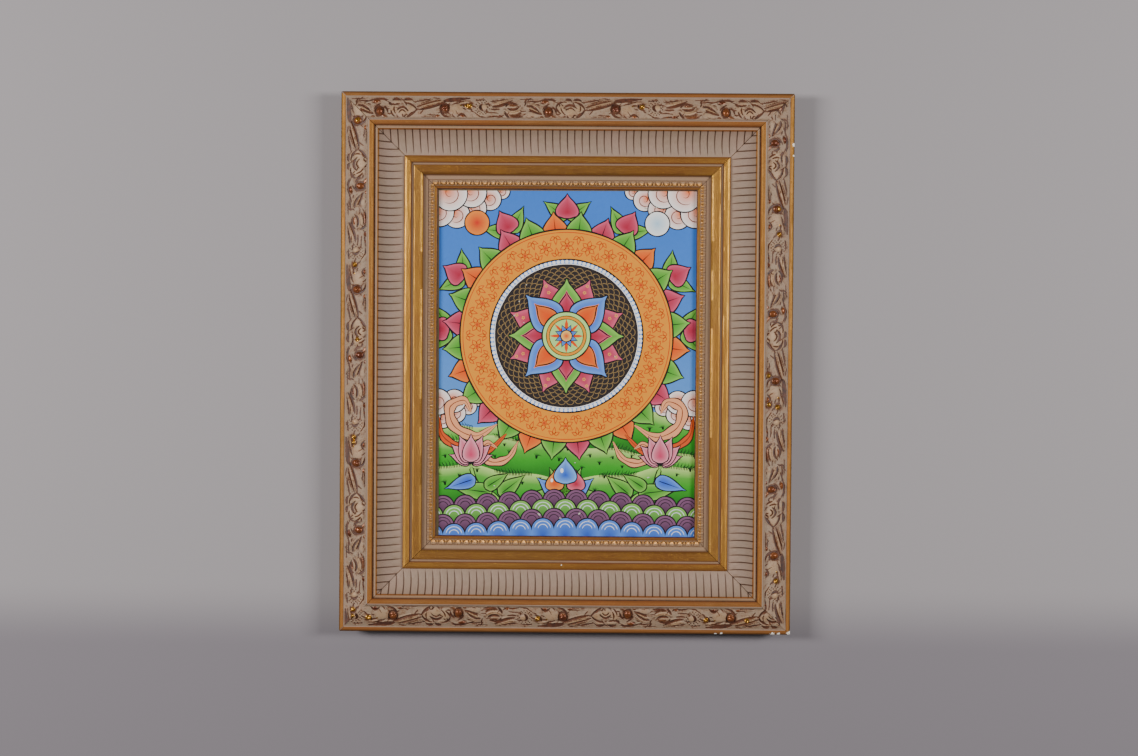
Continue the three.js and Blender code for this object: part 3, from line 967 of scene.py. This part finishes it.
def made_real(name, holder, tree, **inputs):
    """The plain mesh that a geometry nodes tree makes on an object, which it replaces."""
    modifier = holder.modifiers.new("rows", "NODES")
    modifier.node_group = tree
    for item in tree.interface.items_tree:
        if item.in_out == "INPUT" and item.name in inputs:
            modifier[item.identifier] = inputs[item.name]
    graph = bpy.context.evaluated_depsgraph_get()
    mesh = bpy.data.meshes.new_from_object(holder.evaluated_get(graph))
    holder.modifiers.remove(modifier)
    bpy.data.objects.remove(holder)
    return object_of(name, mesh)


# Leaf gilt: greige at the leaf's root, brown wash round it, and rubbed gilding on its tip.
leaf_gilt, tree, shader = finish("leaf gilt")
fine = noise(object_place(tree), 900, 4, 0.65, 0.3, 0.7)
tone = mixed(fine, linear(152, 120, 88), linear(126, 92, 60))
hollow = plus(attribute(tree, "wash"), times(fine, 0.2))
tone = mixed(spread(hollow, 0.2, 0.8), tone, linear(122, 78, 44))
gilt = spread(minus(attribute(tree, "gilt"), times(fine, 0.25)), 0.1, 0.5)
tone = mixed(gilt, tone, mixed(fine, linear(192, 144, 84), linear(152, 100, 50)))
into(shader, Base_Color=tone, Metallic=times(gilt, 0.7))
into(shader, Roughness=spread(gilt, 0, 1, 0.6, 0.38))
bumped(shader, fine, 0.12)

edging_places, edging_facing, edging_darts = [], [], []
edging_from, edging_to = 73.3, 78.3
edging_fall = surface_height(edging_from) - surface_height(edging_to)
edging_tilt = -atan2(edging_fall, edging_to - edging_from)
edging_height = surface_height(edging_middle)
for rail in rails:
    _, _, length, _, forward, _ = rail
    free = length - 2 * edging_middle
    count = round(free / leaf_pitch)
    for k in range(2 * count - 1):
        along = edging_middle + (k + 1) * free / count / 2
        edging_places.append(rail_to_world(rail, along, edging_middle, edging_height)[()] * MM)
        edging_facing.append((edging_tilt, 0, atan2(-forward[1], -forward[0])))
        edging_darts.append(k % 2 == 1)
holder_mesh = bpy.data.meshes.new("edging places")
holder_mesh.from_pydata([tuple(place) for place in edging_places], [], [])
turns = holder_mesh.attributes.new("facing", "FLOAT_VECTOR", "POINT")
turns.data.foreach_set("vector", np.array(edging_facing).ravel())
holder_mesh.attributes.new("is_dart", "BOOLEAN", "POINT").data.foreach_set("value", edging_darts)
edging = made_real(
    "leaf_edging", object_of("edging places", holder_mesh), row_tree(),
    Leaf=leaf_shape, Dart=dart_shape, Size=1.0, Material=leaf_gilt,
)
for shape in (leaf_shape, dart_shape):
    bpy.data.objects.remove(shape)
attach(edging, "root")

# Painted cloth: cotton primed with gesso, stretched flat in the rebate between the lip and the
# backing board. It swells a little in its middle, as hand-primed cloth does.
cloth_low, cloth_high = (np.array(corner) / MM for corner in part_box("painted_cloth"))
cloth_size = (cloth_high - cloth_low)[:2]
cloth_thick = 1.5
cloth_swell = 0.35
cloth_top = cloth_high[2] - cloth_swell


def cloth_rise(x, y):
    """How far the cloth's slight swell lifts it off its flat, dying out at its edges."""
    u, v = x / cloth_size[0], y / cloth_size[1]
    fade = np.clip(1 - (2 * u) ** 4, 0, 1) * np.clip(1 - (2 * v) ** 4, 0, 1)
    return cloth_swell * fade * (np.sin(5 * u + 3 * v) + np.cos(4 * v - 2 * u)) / 2


def cloth_sheet():
    """The cloth: two grids and their edge, one thickness apart."""
    columns, rows = 46, 61
    count = columns * rows
    across, up = (np.linspace(-0.5, 0.5, n) * size for n, size in zip((columns, rows), cloth_size))
    x, y = np.meshgrid(across, up)
    top = cloth_top + cloth_rise(x, y)
    points = [np.stack([x, y, level], -1).reshape(-1, 3) for level in (top, top - cloth_thick)]
    points = np.concatenate(points)
    index = np.arange(count).reshape(rows, columns)
    quads = np.stack([index[:-1, :-1], index[:-1, 1:], index[1:, 1:], index[1:, :-1]], -1).reshape(-1, 4)
    faces = quads.tolist() + (quads[:, ::-1] + count).tolist()
    rim = np.concatenate([index[0, :-1], index[:-1, -1], index[-1, :0:-1], index[:0:-1, 0]])
    for a, b in zip(rim, np.roll(rim, -1)):
        faces.append([b, a, a + count, b + count])
    return plain_mesh("painted_cloth_sheet", points, faces, 40)


def weave(place, unevenness):
    """Crossed bands of threads, so many to a metre."""
    values = {"Vector": place, "Scale": 330.0, "Distortion": unevenness}
    bands = [new_node(tree_of(place), "ShaderNodeTexWave", values, bands_direction=way) for way in "XY"]
    return times(*(band.outputs["Fac"] for band in bands))


cotton, tree, shader = finish("primed cotton")
place = object_place(tree)
threads = weave(place, 0.6)
soil = noise(place, 30, 5)
into(shader, Base_Color=mixed(soil, linear(226, 216, 196), linear(206, 192, 166)))
into(shader, Roughness=0.85)
bumped(shader, threads, 0.08)

cloth = cloth_sheet()
cloth.data.materials.append(cotton)
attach(cloth, "root")
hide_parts("painted_cloth")

# Painting: gouache laid over the cloth in flat and shaded fields, then drawn round in brown-black
# brush lines, in the manner of a thangka. Every field and line is a thin layer of paint over
# the ones below. The picture is a lotus wheel between clouds, hills and waves.
layer_step = 0.004
picture_half = (cloth_size / 2 - 1.0).tolist()
ink = linear(24, 14, 20)
paint_points, paint_colours, paint_faces = [], [], []


def lay(level, points, colours, faces):
    """Lays a field of paint on a level over the cloth. colours has one for each point, or one."""
    start = len(paint_points)
    points = np.asarray(points, float).reshape(-1, 2)
    colours = np.broadcast_to(np.asarray(colours, float).reshape(-1, 3), (len(points), 3))
    paint_points.extend((x, y, (level + 1) * layer_step) for x, y in points)
    paint_colours.extend(map(tuple, colours))
    paint_faces.extend([start + i for i in face] for face in faces)


def field(level, outline, colour):
    """A flat field inside an outline."""
    lay(level, outline, colour, [list(range(len(outline)))])


def strips(level, rows, colours, closed=False):
    """A shaded field between rows of points, each row in its own colour."""
    rows = np.asarray(rows, float)
    count, across = rows.shape[:2]
    shades = np.repeat(np.asarray(colours, float), across, 0)
    faces = []
    for i in range(count - 1):
        for j in range(across if closed else across - 1):
            k = (j + 1) % across
            faces.append([i * across + j, i * across + k, (i + 1) * across + k, (i + 1) * across + j])
    lay(level, rows, shades, faces)


def blend(a, b, share):
    """A colour between two."""
    return tuple(p + (q - p) * share for p, q in zip(a, b))


def shaded(level, outline, heart, edge, middle, rings=5, power=1.0):
    """A field shaded from its edge to its heart, in rings drawn in towards a point."""
    outline, heart = np.asarray(outline, float), np.asarray(heart, float)
    shares = np.linspace(0, 1, rings)
    rows = [outline + (heart - outline) * share * 0.985 for share in shares]
    strips(level, rows, [blend(edge, middle, share**power) for share in shares], True)
    field(level, rows[-1], middle)


def brush(level, line, wide, colour=ink, start=0.25, end=0.25, closed=False):
    """A brush line: it swells from its start and thins to its end."""
    line = np.asarray(line, float)
    if closed:
        line = np.concatenate([line, line[:1]])
    way = np.gradient(line, axis=0)
    if closed:
        way[0] = way[-1] = line[1] - line[-2]
    side = np.stack([-way[:, 1], way[:, 0]], -1) / np.maximum(np.hypot(*way.T), 1e-9)[:, None]
    shares = np.linspace(0, 1, len(line))
    swell = np.ones(len(line))
    if not closed:
        rise, fall = np.clip(shares / start, 0, 1), np.clip((1 - shares) / end, 0, 1)
        swell = np.maximum(np.minimum(rise, fall) ** 0.6, 0.12)
    wobble = 1 + 0.14 * np.sin(np.arange(len(line)) * 0.9 + line[0, 0])
    half = (wide / 2 * swell * wobble)[:, None]
    strips(level, [line + side * half, line - side * half], [colour, colour])


def smooth_line(points, steps=8):
    """A smooth line through points."""
    points = [np.array(p, float) for p in points]
    points = [2 * points[0] - points[1], *points, 2 * points[-1] - points[-2]]
    line = []
    for a, b, c, d in zip(points, points[1:], points[2:], points[3:]):
        for t in np.arange(steps) / steps:
            bend = (2 * a - 5 * b + 4 * c - d) * t**2 + (3 * b - a - 3 * c + d) * t**3
            line.append(0.5 * (2 * b + (c - a) * t + bend))
    line.append(points[-2])
    return np.array(line)


def round_line(centre, radius, count=72, start=0.0, end=2 * pi, squash=1.0):
    """Points round a circle, or along a part of it."""
    turns = start + (end - start) * np.arange(count) / (count if end - start > 6.2 else count - 1)
    return np.stack([centre[0] + radius * np.cos(turns), centre[1] + radius * squash * np.sin(turns)], -1)


def disc(level, centre, reach, count, edge, middle, rings, line, outline=ink):
    """A round field with a line round it."""
    rim = round_line(centre, reach, count)
    shaded(level, rim, centre, edge, middle, rings)
    brush(level + 1, rim, line, outline, closed=True)


def placed(points, centre, turn=0.0, size=1.0, mirror=False):
    """Points drawn upright round the origin, sized, turned and set down."""
    points = np.asarray(points, float) * size
    if mirror:
        points = points * [-1, 1]
    c, s = cos(turn), sin(turn)
    return points @ np.array([[c, s], [-s, c]]) + centre


def petal_outline(long, wide, tip=0.16, steps=12):
    """A petal standing on the origin: it swells, draws in and ends in a small point."""
    t = np.linspace(0, 1, steps)
    belly = np.sin(t**0.74 * pi * 0.999) ** (0.7 + 0.7 * t**5)
    side = wide / 2 * belly * (1 - 0.12 * t) + wide * 0.12 * (1 - t) ** 2
    side[-1] = 0
    right = np.stack([side, t * long * (1 - tip) + tip * long * t**4], -1)
    return np.concatenate([right, right[-2::-1] * [-1, 1]])


def petal(level, centre, turn, long, wide, edge, middle, line=1.0, heart=None, vein=0.0):
    """A petal with its outline, and a smaller heart or a vein inside it. It takes three levels."""
    outline = petal_outline(long, wide)
    low = placed([(0, long * 0.25)], centre, turn)[0]
    shaded(level, placed(outline, centre, turn), low, edge, middle, 5, 0.45)
    brush(level + 1, placed(outline, centre, turn), line, closed=True)
    if heart:
        inner = outline * [0.54, 0.6] + [0, long * 0.08]
        shaded(level + 1, placed(inner * 1.07, centre, turn), low, heart[0], heart[1], 4, 0.3)
        brush(level + 2, placed(inner, centre, turn), line * 0.8, closed=True)
    if vein:
        rib = smooth_line(placed([(0, long * t) for t in (0.1, 0.4, 0.75)], centre, turn), 5)
        brush(level + 2, rib, vein, start=0.05, end=0.7)


def spiral(centre, radius, turns, start, way=1, count=34, tail=0.12):
    """A line that winds in to a point."""
    share = np.linspace(0, 1, count)
    reach = radius * (1 - share * (1 - tail))
    angle = start + way * share * turns * 2 * pi
    return np.stack([centre[0] + reach * np.cos(angle), centre[1] + reach * np.sin(angle)], -1)


def tuft(level, foot, size, lean, blades=7):
    """A tuft of grass in fanned dark strokes."""
    for k in range(blades):
        aside = (k - blades / 2 + 0.5) / blades * 2 + lean
        tip = (foot[0] + aside * size * 0.8, foot[1] + size * (1 - 0.35 * aside**2))
        bow = (foot[0] + aside * size * 0.25, foot[1] + size * 0.5)
        blade = smooth_line([(foot[0] + aside * 0.4, foot[1]), bow, tip], 4)
        brush(level, blade, 0.62, linear(24, 52, 26), 0.05, 0.9)


# Sky and hills.
sky_top, sky_low = linear(58, 118, 206), linear(92, 148, 212)
sky_rows = np.linspace(picture_half[1], -60, 10)
sky_shares = np.clip((sky_rows[0] - sky_rows) / 200, 0, 1)
sky_edges = [[(x, y) for x in (-picture_half[0], picture_half[0])] for y in sky_rows]
strips(0, sky_edges, [blend(sky_top, sky_low, share**2) for share in sky_shares])
hill_pale, hill_green, hill_deep = linear(188, 222, 120), linear(52, 156, 34), linear(38, 118, 30)
ridge_points = 60
hills = [
    # level, height of the ridge, swell, waves, shift, depth of the fade
    (1, -46, 8.0, 1.7, 0.6, 44),
    (3, -70, 7.0, 1.4, 2.8, 40),
    (5, -92, 5.5, 2.2, 4.6, 40),
]
for level, ridge, swell, waves, shift, fade in hills:
    x = np.linspace(-picture_half[0], picture_half[0], ridge_points)
    crest = ridge + swell * np.sin(x / 113 * pi * waves / 2 + shift) + 1.6 * np.sin(x * 0.12 + shift)
    shares = np.array([0, 0.08, 0.22, 0.4, 0.7, 1.0])
    rows = [np.stack([x, crest - fade * share], -1) for share in shares]
    foots = [hill_green if share < 0.6 else hill_deep for share in shares]
    tones = [blend(hill_pale, foot, min(1, share * 4)) for foot, share in zip(foots, shares)]
    strips(level, rows, tones)
    for k, (start, end) in enumerate(((0, 9), (14, 22), (37, 45), (50, 59))):
        for blade in np.linspace(start, end, 26):
            foot = np.array([np.interp(blade, np.arange(ridge_points), along) for along in (x, crest)])
            share = sin((blade - start) / (end - start) * pi)
            lean = (-1 if k < 2 else 1) * (1.6 + sin(blade * 9.1))
            tip = foot + [lean * 1.3, (1.5 + 3.5 * share) * (0.8 + 0.3 * sin(blade * 7.7))]
            line = smooth_line([foot - [0, 2.2], foot + [lean * 0.3, 1.2], tip], 3)
            brush(level + 1, line, 0.7, linear(18, 34, 20), 0.05, 0.9)
    for k in range(26):
        foot = (k * 7 + level * 5) % 58 + 1
        down = (k * 5 + level) % 11 * 1.6
        tuft(level + 1, (x[foot], crest[foot] - 3 - down), 3.2 + (k * 3 % 4) * 0.7, 0.5 * sin(k * 2.1))

# Waves in purple, green and blue along the bottom, in rows of overlapping scales.
wave_rows = [
    # level, middle height, shift, edge colour, heart colour
    (71, -119, 0.0, (128, 84, 116), (72, 42, 66)),
    (73, -127, 0.5, (128, 186, 84), (52, 122, 40)),
    (75, -135, 0.0, (128, 84, 116), (72, 42, 66)),
    (77, -143, 0.5, (86, 134, 216), (44, 80, 180)),
]
for level, middle, shift, edge, heart in wave_rows:
    for k in range(-7, 7):
        x, reach = (k + shift + 0.5) * 18.8, 9.5
        centre = (x, middle + 3.0 * cos(x / 34))
        scale = round_line(centre, reach, 15, pi, 0)
        scale = np.concatenate([scale, [(x + 9.4, centre[1] - 13), (x - 9.4, centre[1] - 13)]])
        shaded(level, scale, (x, centre[1] - 6), linear(*edge), linear(*heart), 4)
        brush(level + 1, scale[:15], 1.0, start=0.1, end=0.1)
        for share in (0.72, 0.44):
            crest = round_line(centre, reach * share, 11, pi * 0.95, pi * 0.05)
            brush(level + 1, crest, 0.6, ink if shift == 0 else linear(226, 228, 236), 0.1, 0.1)

# Lotus wheel: petals round an ochre ring of blossoms, a ring of pearls and a dark disc of gold
# scales, and in its middle a flower with a small spoked wheel.
wheel = (0.0, 23.0)
crimson, pink = linear(172, 36, 62), linear(220, 96, 126)
blue, pale_blue = linear(50, 92, 204), linear(112, 162, 230)
leaf_green, pale_green = linear(60, 148, 36), linear(140, 200, 84)
orange, pale_orange = linear(228, 74, 12), linear(238, 136, 54)
ochre, ochre_deep = linear(233, 148, 34), linear(224, 130, 26)
blossom_red, scale_gold = linear(206, 70, 16), linear(140, 114, 70)
black_paint, white_paint = linear(42, 35, 35), linear(246, 242, 236)
# A petal's edge and middle.
pinks, oranges = (pink, crimson), (pale_orange, orange)
greens, blues = (pale_green, leaf_green), (pale_blue, blue)
wheel_reach, pearl_reach, scale_reach, middle_reach = 90, 64.6, 60.8, 20.5


def on_wheel(reach, turn, aside=0):
    """A place so far out from the wheel's middle, turned round it."""
    return placed([(aside, reach)], wheel, turn)[0]


for turn in (0, 0.5, -0.5, 1.06, -1.06, 1.52, -1.52):
    foot = on_wheel(99, turn)
    petal(16, foot, turn + 0.95, 25, 13, *greens, 1.1, vein=0.8)
    petal(16.5, foot, turn - 0.95, 25, 13, *greens, 1.1, vein=0.8)
    petal(19, foot, turn, 21, 19, *pinks, 1.1)
for k in range(28):
    turn = 2 * pi * (k + 0.5) / 28
    tones = (oranges, greens, pinks, greens)[k % 4]
    petal(21 + 3 * (k % 2), on_wheel(82, turn), turn, 23.5, 21, *tones, 1.15, vein=0.8)
disc(27, wheel, wheel_reach, 96, ochre, ochre_deep, 3, 1.3)
brush(28, round_line(wheel, 87.4, 96), 0.7, blossom_red, closed=True)
for k in range(26):
    turn = 2 * pi * k / 26
    blossom = on_wheel(76, turn)
    for leaf in range(6):
        around = turn + 2 * pi * leaf / 6
        foot = placed([(0, 1.8)], blossom, around)[0]
        brush(28, placed(petal_outline(4.9, 3.3, steps=8), foot, around), 0.65, blossom_red, closed=True)
    field(28.5, round_line(blossom, 1.3, 12), blossom_red)
    # A bud of three petals points in and another out, between each pair of blossoms.
    for r, point in ((84.6, pi), (67.6, 0)):
        bud = on_wheel(r, turn + pi / 26)
        for lean, long in ((0, 6.4), (0.95, 4.8), (-0.95, 4.8)):
            around = turn + pi / 26 + point + lean
            foot = placed([(0, 1.0)], bud, around)[0]
            brush(28, placed(petal_outline(long, 2.5, steps=8), foot, around), 0.65, blossom_red, closed=True)
disc(29, wheel, pearl_reach, 90, linear(84, 140, 214), linear(84, 140, 214), 2, 1.2)
for k in range(108):
    pearl = on_wheel(62.7, 2 * pi * k / 108)
    field(30, round_line(pearl, 1.55, 10), white_paint)
disc(31, wheel, scale_reach, 90, black_paint, linear(48, 40, 40), 3, 0.7, white_paint)
for row in range(10):
    for k in range(48):
        turn = 2 * pi * (k + row % 2 / 2) / 48
        scale = round_line((0, 0), 3.1, 9, -0.35, pi + 0.35, 0.8)
        scale = placed(scale, on_wheel(30 + 2.85 * row, turn), turn)
        brush(32, scale, 0.6, scale_gold, 0.1, 0.1)
for k in range(8):
    turn = 2 * pi * (k + 0.5) / 8
    petal(33, on_wheel(16, turn), turn, 36, 27, *pinks, 1.2)
for k in range(8):
    turn = 2 * pi * (k + 0.5) / 8
    for r, aside in ((34, -4), (34, 4), (39.5, 0), (45.5, 0)):
        spot = on_wheel(r, turn, aside)
        for leaf in range(5):
            around = 2 * pi * leaf / 5 + k
            away = spot + 1.0 * np.array([cos(around), sin(around)])
            field(34, round_line(away, 0.55, 6), linear(236, 168, 74))
for k in range(8):
    turn = 2 * pi * k / 8
    outer, heart = (blues, oranges) if k % 2 else (greens, pinks)
    petal(35 + 3 * (k % 2), on_wheel(12, turn), turn, 37, 28, *outer, 1.2, heart)
disc(42, wheel, middle_reach, 56, linear(182, 226, 130), linear(170, 216, 124), 3, 1.2)
brush(43, round_line(wheel, 15.6, 48), 2.2, ochre, closed=True)
for reach in (16.9, 14.3):
    brush(44, round_line(wheel, reach, 48), 0.6, closed=True)
for k in range(8):
    turn = 2 * pi * k / 8
    spoke = [(wheel[0] + r * cos(turn), wheel[1] + r * sin(turn)) for r in (4.4, 7.0, 10.3, 14.0)]
    brush(43, spoke, 2.4, orange, 0.02, 0.02)
    petal(44, wheel, turn + pi / 8, 10.3, 4.8, *blues, 0.6)
disc(47, wheel, 4.8, 30, linear(250, 210, 110), orange, 4, 0.8)

# Sun and moon over the wheel.
sun = (-76, linear(244, 140, 50), linear(206, 46, 30))
moon = (76, linear(246, 244, 238), linear(176, 208, 226))
for x, rim_colour, disc_colour in (sun, moon):
    disc(20, (x, 118), 10.5, 48, rim_colour, disc_colour, 5, 1.0)

# Clouds: heaped puffs, white at the edge and orange within, each over the one behind it.
cloud_orange, cloud_line = linear(232, 112, 46), linear(112, 44, 24)
clouds = [
    # middle, size, mirrored
    ((-92, 139), 1.12, False),
    ((92, 139), 1.12, True),
    ((-103, -36), 0.86, False),
    ((103, -36), 0.86, True),
]
puffs = [
    # x, y, radius, level
    (33, 5, 6.0, 7),
    (24, -1, 8.5, 9),
    (12, -8, 9.5, 11),
    (-1, -13, 10, 13),
    (-14, -11, 11, 15),
    (10, 4, 11.5, 15),
    (-6, 3, 13, 17),
]
for middle, size, mirrored in clouds:
    for x, y, radius, level in puffs:
        puff = placed([(x, y)], middle, 0, size, mirrored)[0]
        radius *= size
        way = -1 if mirrored else 1
        heart = puff + [-way * radius * 0.25, radius * 0.2]
        shaded(level, round_line(puff, radius, 30), heart, white_paint, cloud_orange, 6, 1.0)
        brush(level + 1, round_line(puff, radius, 30), 1.0, closed=True)
        start = -2.2 if way > 0 else -pi + 2.2
        brush(level + 1, spiral(puff, radius * 0.6, 1.2, start, way, 24, 0.2), 0.75, cloud_line, 0.1, 0.4)

# Ribbons that curl beside the wheel's foot.
ribbon_peach, ribbon_orange = linear(238, 160, 112), linear(214, 84, 32)
ribbons = [
    # level, colour, width, points
    (49, ribbon_peach, 8, [(58, -52), (76, -62), (94, -54), (98, -38), (86, -32), (80, -42)]),
    (51, ribbon_orange, 6, [(50, -60), (66, -74), (88, -72), (104, -62), (108, -44)]),
    (53, ribbon_peach, 6, [(40, -66), (48, -80), (62, -84), (72, -76), (66, -68), (58, -72)]),
]
for way in (-1, 1):
    for level, colour, wide, points in ribbons:
        line = smooth_line([(way * x, y) for x, y in points], 8)
        brush(level, line, wide + 1.8, ink, 0.3, 0.35)
        brush(level + 1, line, wide, colour, 0.3, 0.35)
        brush(level + 1.5, line, 0.7, cloud_line, 0.3, 0.3)

# A lotus on its stem at each side.
for way in (-1, 1):
    bloom = (way * 80.0, -84.0)
    stem = smooth_line([(way * 52, -122), (way * 60, -112), (way * 74, -104), (way * 80, -88)], 8)
    brush(55, stem, 4.2, ink, 0.02, 0.02)
    brush(56, stem, 2.4, pale_green, 0.02, 0.02)
    leaves = [
        # foot x, foot y, turn, long, wide, level
        (62, -110, -1.45, 34, 14, 57),
        (56, -112, 0.9, 28, 13, 57),
        (68, -106, 1.0, 24, 11, 60),
        (76, -98, -1.9, 28, 12, 60),
    ]
    for k, (x, y, turn, long, wide, level) in enumerate(leaves):
        tones = blues if k == 3 else greens
        petal(level, (way * x, y), turn * way, long, wide, *tones, 1.0, vein=0.8)
    flower_petals = [
        # level, turn, long, wide
        (62, -1.25, 20, 10),
        (62, 1.25, 20, 10),
        (64, -0.85, 23, 12),
        (64, 0.85, 23, 12),
        (66, -0.42, 25, 13),
        (66, 0.42, 25, 13),
        (68, 0.0, 24, 14),
    ]
    for level, turn, long, wide in flower_petals:
        petal(level, bloom, turn, long, wide, linear(240, 170, 180), linear(200, 58, 96), 0.9)

# Three jewels in a cup of petals, in the middle of the foreground.
jewels = (0.0, -104.0)
for k, turn in enumerate((-1.35, 1.35, -0.9, 0.9, -0.45, 0.45)):
    tones = (greens, blues, greens)[k // 2]
    petal(56 + 2 * (k // 2), (jewels[0], jewels[1] - 12), turn, 31, 16, *tones, 1.0, vein=0.7)
for x, y, size, edge, heart in (
    (-9, 2, 1.0, (244, 160, 70), (222, 78, 20)),
    (9, 2, 1.0, (232, 120, 140), (176, 30, 60)),
    (0, 8, 1.25, (130, 186, 240), (40, 84, 196)),
):
    centre = np.array([jewels[0] + x, jewels[1] + y - 6])
    drop = placed(petal_outline(18, 15), centre, 0, size)
    level = 64 if x else 66
    shaded(level, drop, centre + [0, 6 * size], linear(*edge), linear(*heart), 5, 0.7)
    brush(level + 1, drop, 1.0, closed=True)
    field(level + 1, round_line(centre + [-2.4 * size, 9 * size], 1.1 * size, 10, squash=1.5), white_paint)

# Painted shadow of the lip: a brown band on the picture's top and left edges, just in sight at the lip.
sight_half = (width / 2 - face_width, height / 2 - face_width)
painted_lip_shadow = linear(118, 104, 76)
edge_x, edge_y = sight_half[0] - 0.9, sight_half[1] - 1.1
right_end, top_end = picture_half
upper_corners = [(right_end, top_end), (-right_end, top_end)]
field(80, [(-right_end, edge_y), (right_end, edge_y + 0.6), *upper_corners], painted_lip_shadow)
left_foot = [(-right_end, -top_end), (1.2 - edge_x, -top_end)]
field(80, [*left_foot, (-edge_x, top_end), (-right_end, top_end)], painted_lip_shadow)

# Flakes: specks where the paint has come off the ground.
flakes = [
    # x, y, width
    (66, 131, 1.7), (71, 127, 1.1), (75, 132, 1.4), (-40, 52, 1.0), (-44, 40, 1.3), (-36, 34, 0.9),
    (-22, -128, 1.9), (-4, -131, 1.3), (12, -127, 1.6), (20, -133, 1.1), (-34, 66, 0.9), (41, 6, 1.0),
    (70, -96, 1.5), (-60, -104, 1.0), (8, -84, 0.9),
]
for x, y, wide in flakes:
    turns = np.arange(7) * 2 * pi / 7
    reach = wide / 2 * (1 + 0.45 * np.sin(turns * 2 + x) + 0.25 * np.cos(turns * 3 + y))
    flake = np.stack([x + reach * np.cos(turns) * 1.3, y + reach * np.sin(turns)], -1)
    field(81, flake, linear(196, 192, 178))

cut_pitch = 9


def paint_mesh():
    """All the fields as one mesh, cut to the picture's edge and to a grid, so that it follows the
    cloth's swell."""
    shape = bmesh.new()
    tint = shape.verts.layers.float_color.new("paint")
    points = []
    for place, colour in zip(paint_points, paint_colours):
        point = shape.verts.new(place)
        point[tint] = (*colour, 1)
        points.append(point)
    for face in paint_faces:
        shape.faces.new([points[i] for i in face])
    bmesh.ops.triangulate(shape, faces=[f for f in shape.faces if len(f.verts) > 4])
    cuts = [(axis, way * picture_half[axis], way) for axis in (0, 1) for way in (-1, 1)]
    for axis, half in enumerate(picture_half):
        cuts += [(axis, place, 0) for place in np.arange(-half + cut_pitch, half, cut_pitch)]
    for axis, place, outside in cuts:
        origin, normal = [0, 0, 0], [0, 0, 0]
        origin[axis], normal[axis] = place, outside or 1
        everything = shape.verts[:] + shape.edges[:] + shape.faces[:]
        plane = {"plane_co": origin, "plane_no": normal, "clear_outer": bool(outside)}
        bmesh.ops.bisect_plane(shape, geom=everything, **plane)
    for point in shape.verts:
        x, y, lift = point.co
        point.co.z = cloth_top + cloth_rise(x, y) + lift
    bmesh.ops.scale(shape, vec=(MM, MM, MM), verts=shape.verts)
    for face in shape.faces:
        if face.normal.z < 0:
            face.normal_flip()
    mesh = bpy.data.meshes.new("gouache_painting")
    shape.to_mesh(mesh)
    shape.free()
    return object_of("gouache_painting", mesh)


# Gouache: matt, a little uneven in its pigment, with the cloth's weave showing through.
gouache, tree, shader = finish("gouache")
place = object_place(tree)
laid = new_node(tree, "ShaderNodeAttribute", attribute_name="paint").outputs["Color"]
pigment = noise(place, 260, 5, 0.65, 0.3, 0.7)
pools = noise(place, 45, 3, 0.5, 0.35, 0.65)
threads = weave(place, 0.8)
darker = mixed(1.0, laid, (0.8, 0.8, 0.82), "MULTIPLY")
tone = mixed(times(pigment, 0.35), laid, darker)
tone = mixed(times(pools, 0.3), tone, darker)
tone = mixed(spread(threads, 0.0, 0.5, 0.45, 0.0), tone, darker)
into(shader, Base_Color=tone)
into(shader, Roughness=spread(pigment, 0, 1, 0.62, 0.8))
into(shader, Specular_IOR_Level=0.2)
bumped(shader, plus(threads, times(pigment, 0.5)), 0.03)

painting = paint_mesh()
painting.data.materials.append(gouache)
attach(painting, "root")

# Backing board: a plain sheet of hardboard, laid in the rebate behind the cloth. It closes the
# back of the picture.
hardboard, tree, shader = finish("hardboard")
fibre = noise(object_place(tree), 500, 5)
blotch = noise(object_place(tree), 25, 4)
tone = mixed(fibre, linear(134, 98, 66), linear(104, 72, 46))
into(shader, Base_Color=mixed(times(blotch, 0.4), tone, linear(88, 62, 42)))
into(shader, Roughness=0.8)
bumped(shader, fibre, 0.06)
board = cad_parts["backing_board"]
board.data.materials.clear()
board.data.materials.append(hardboard)
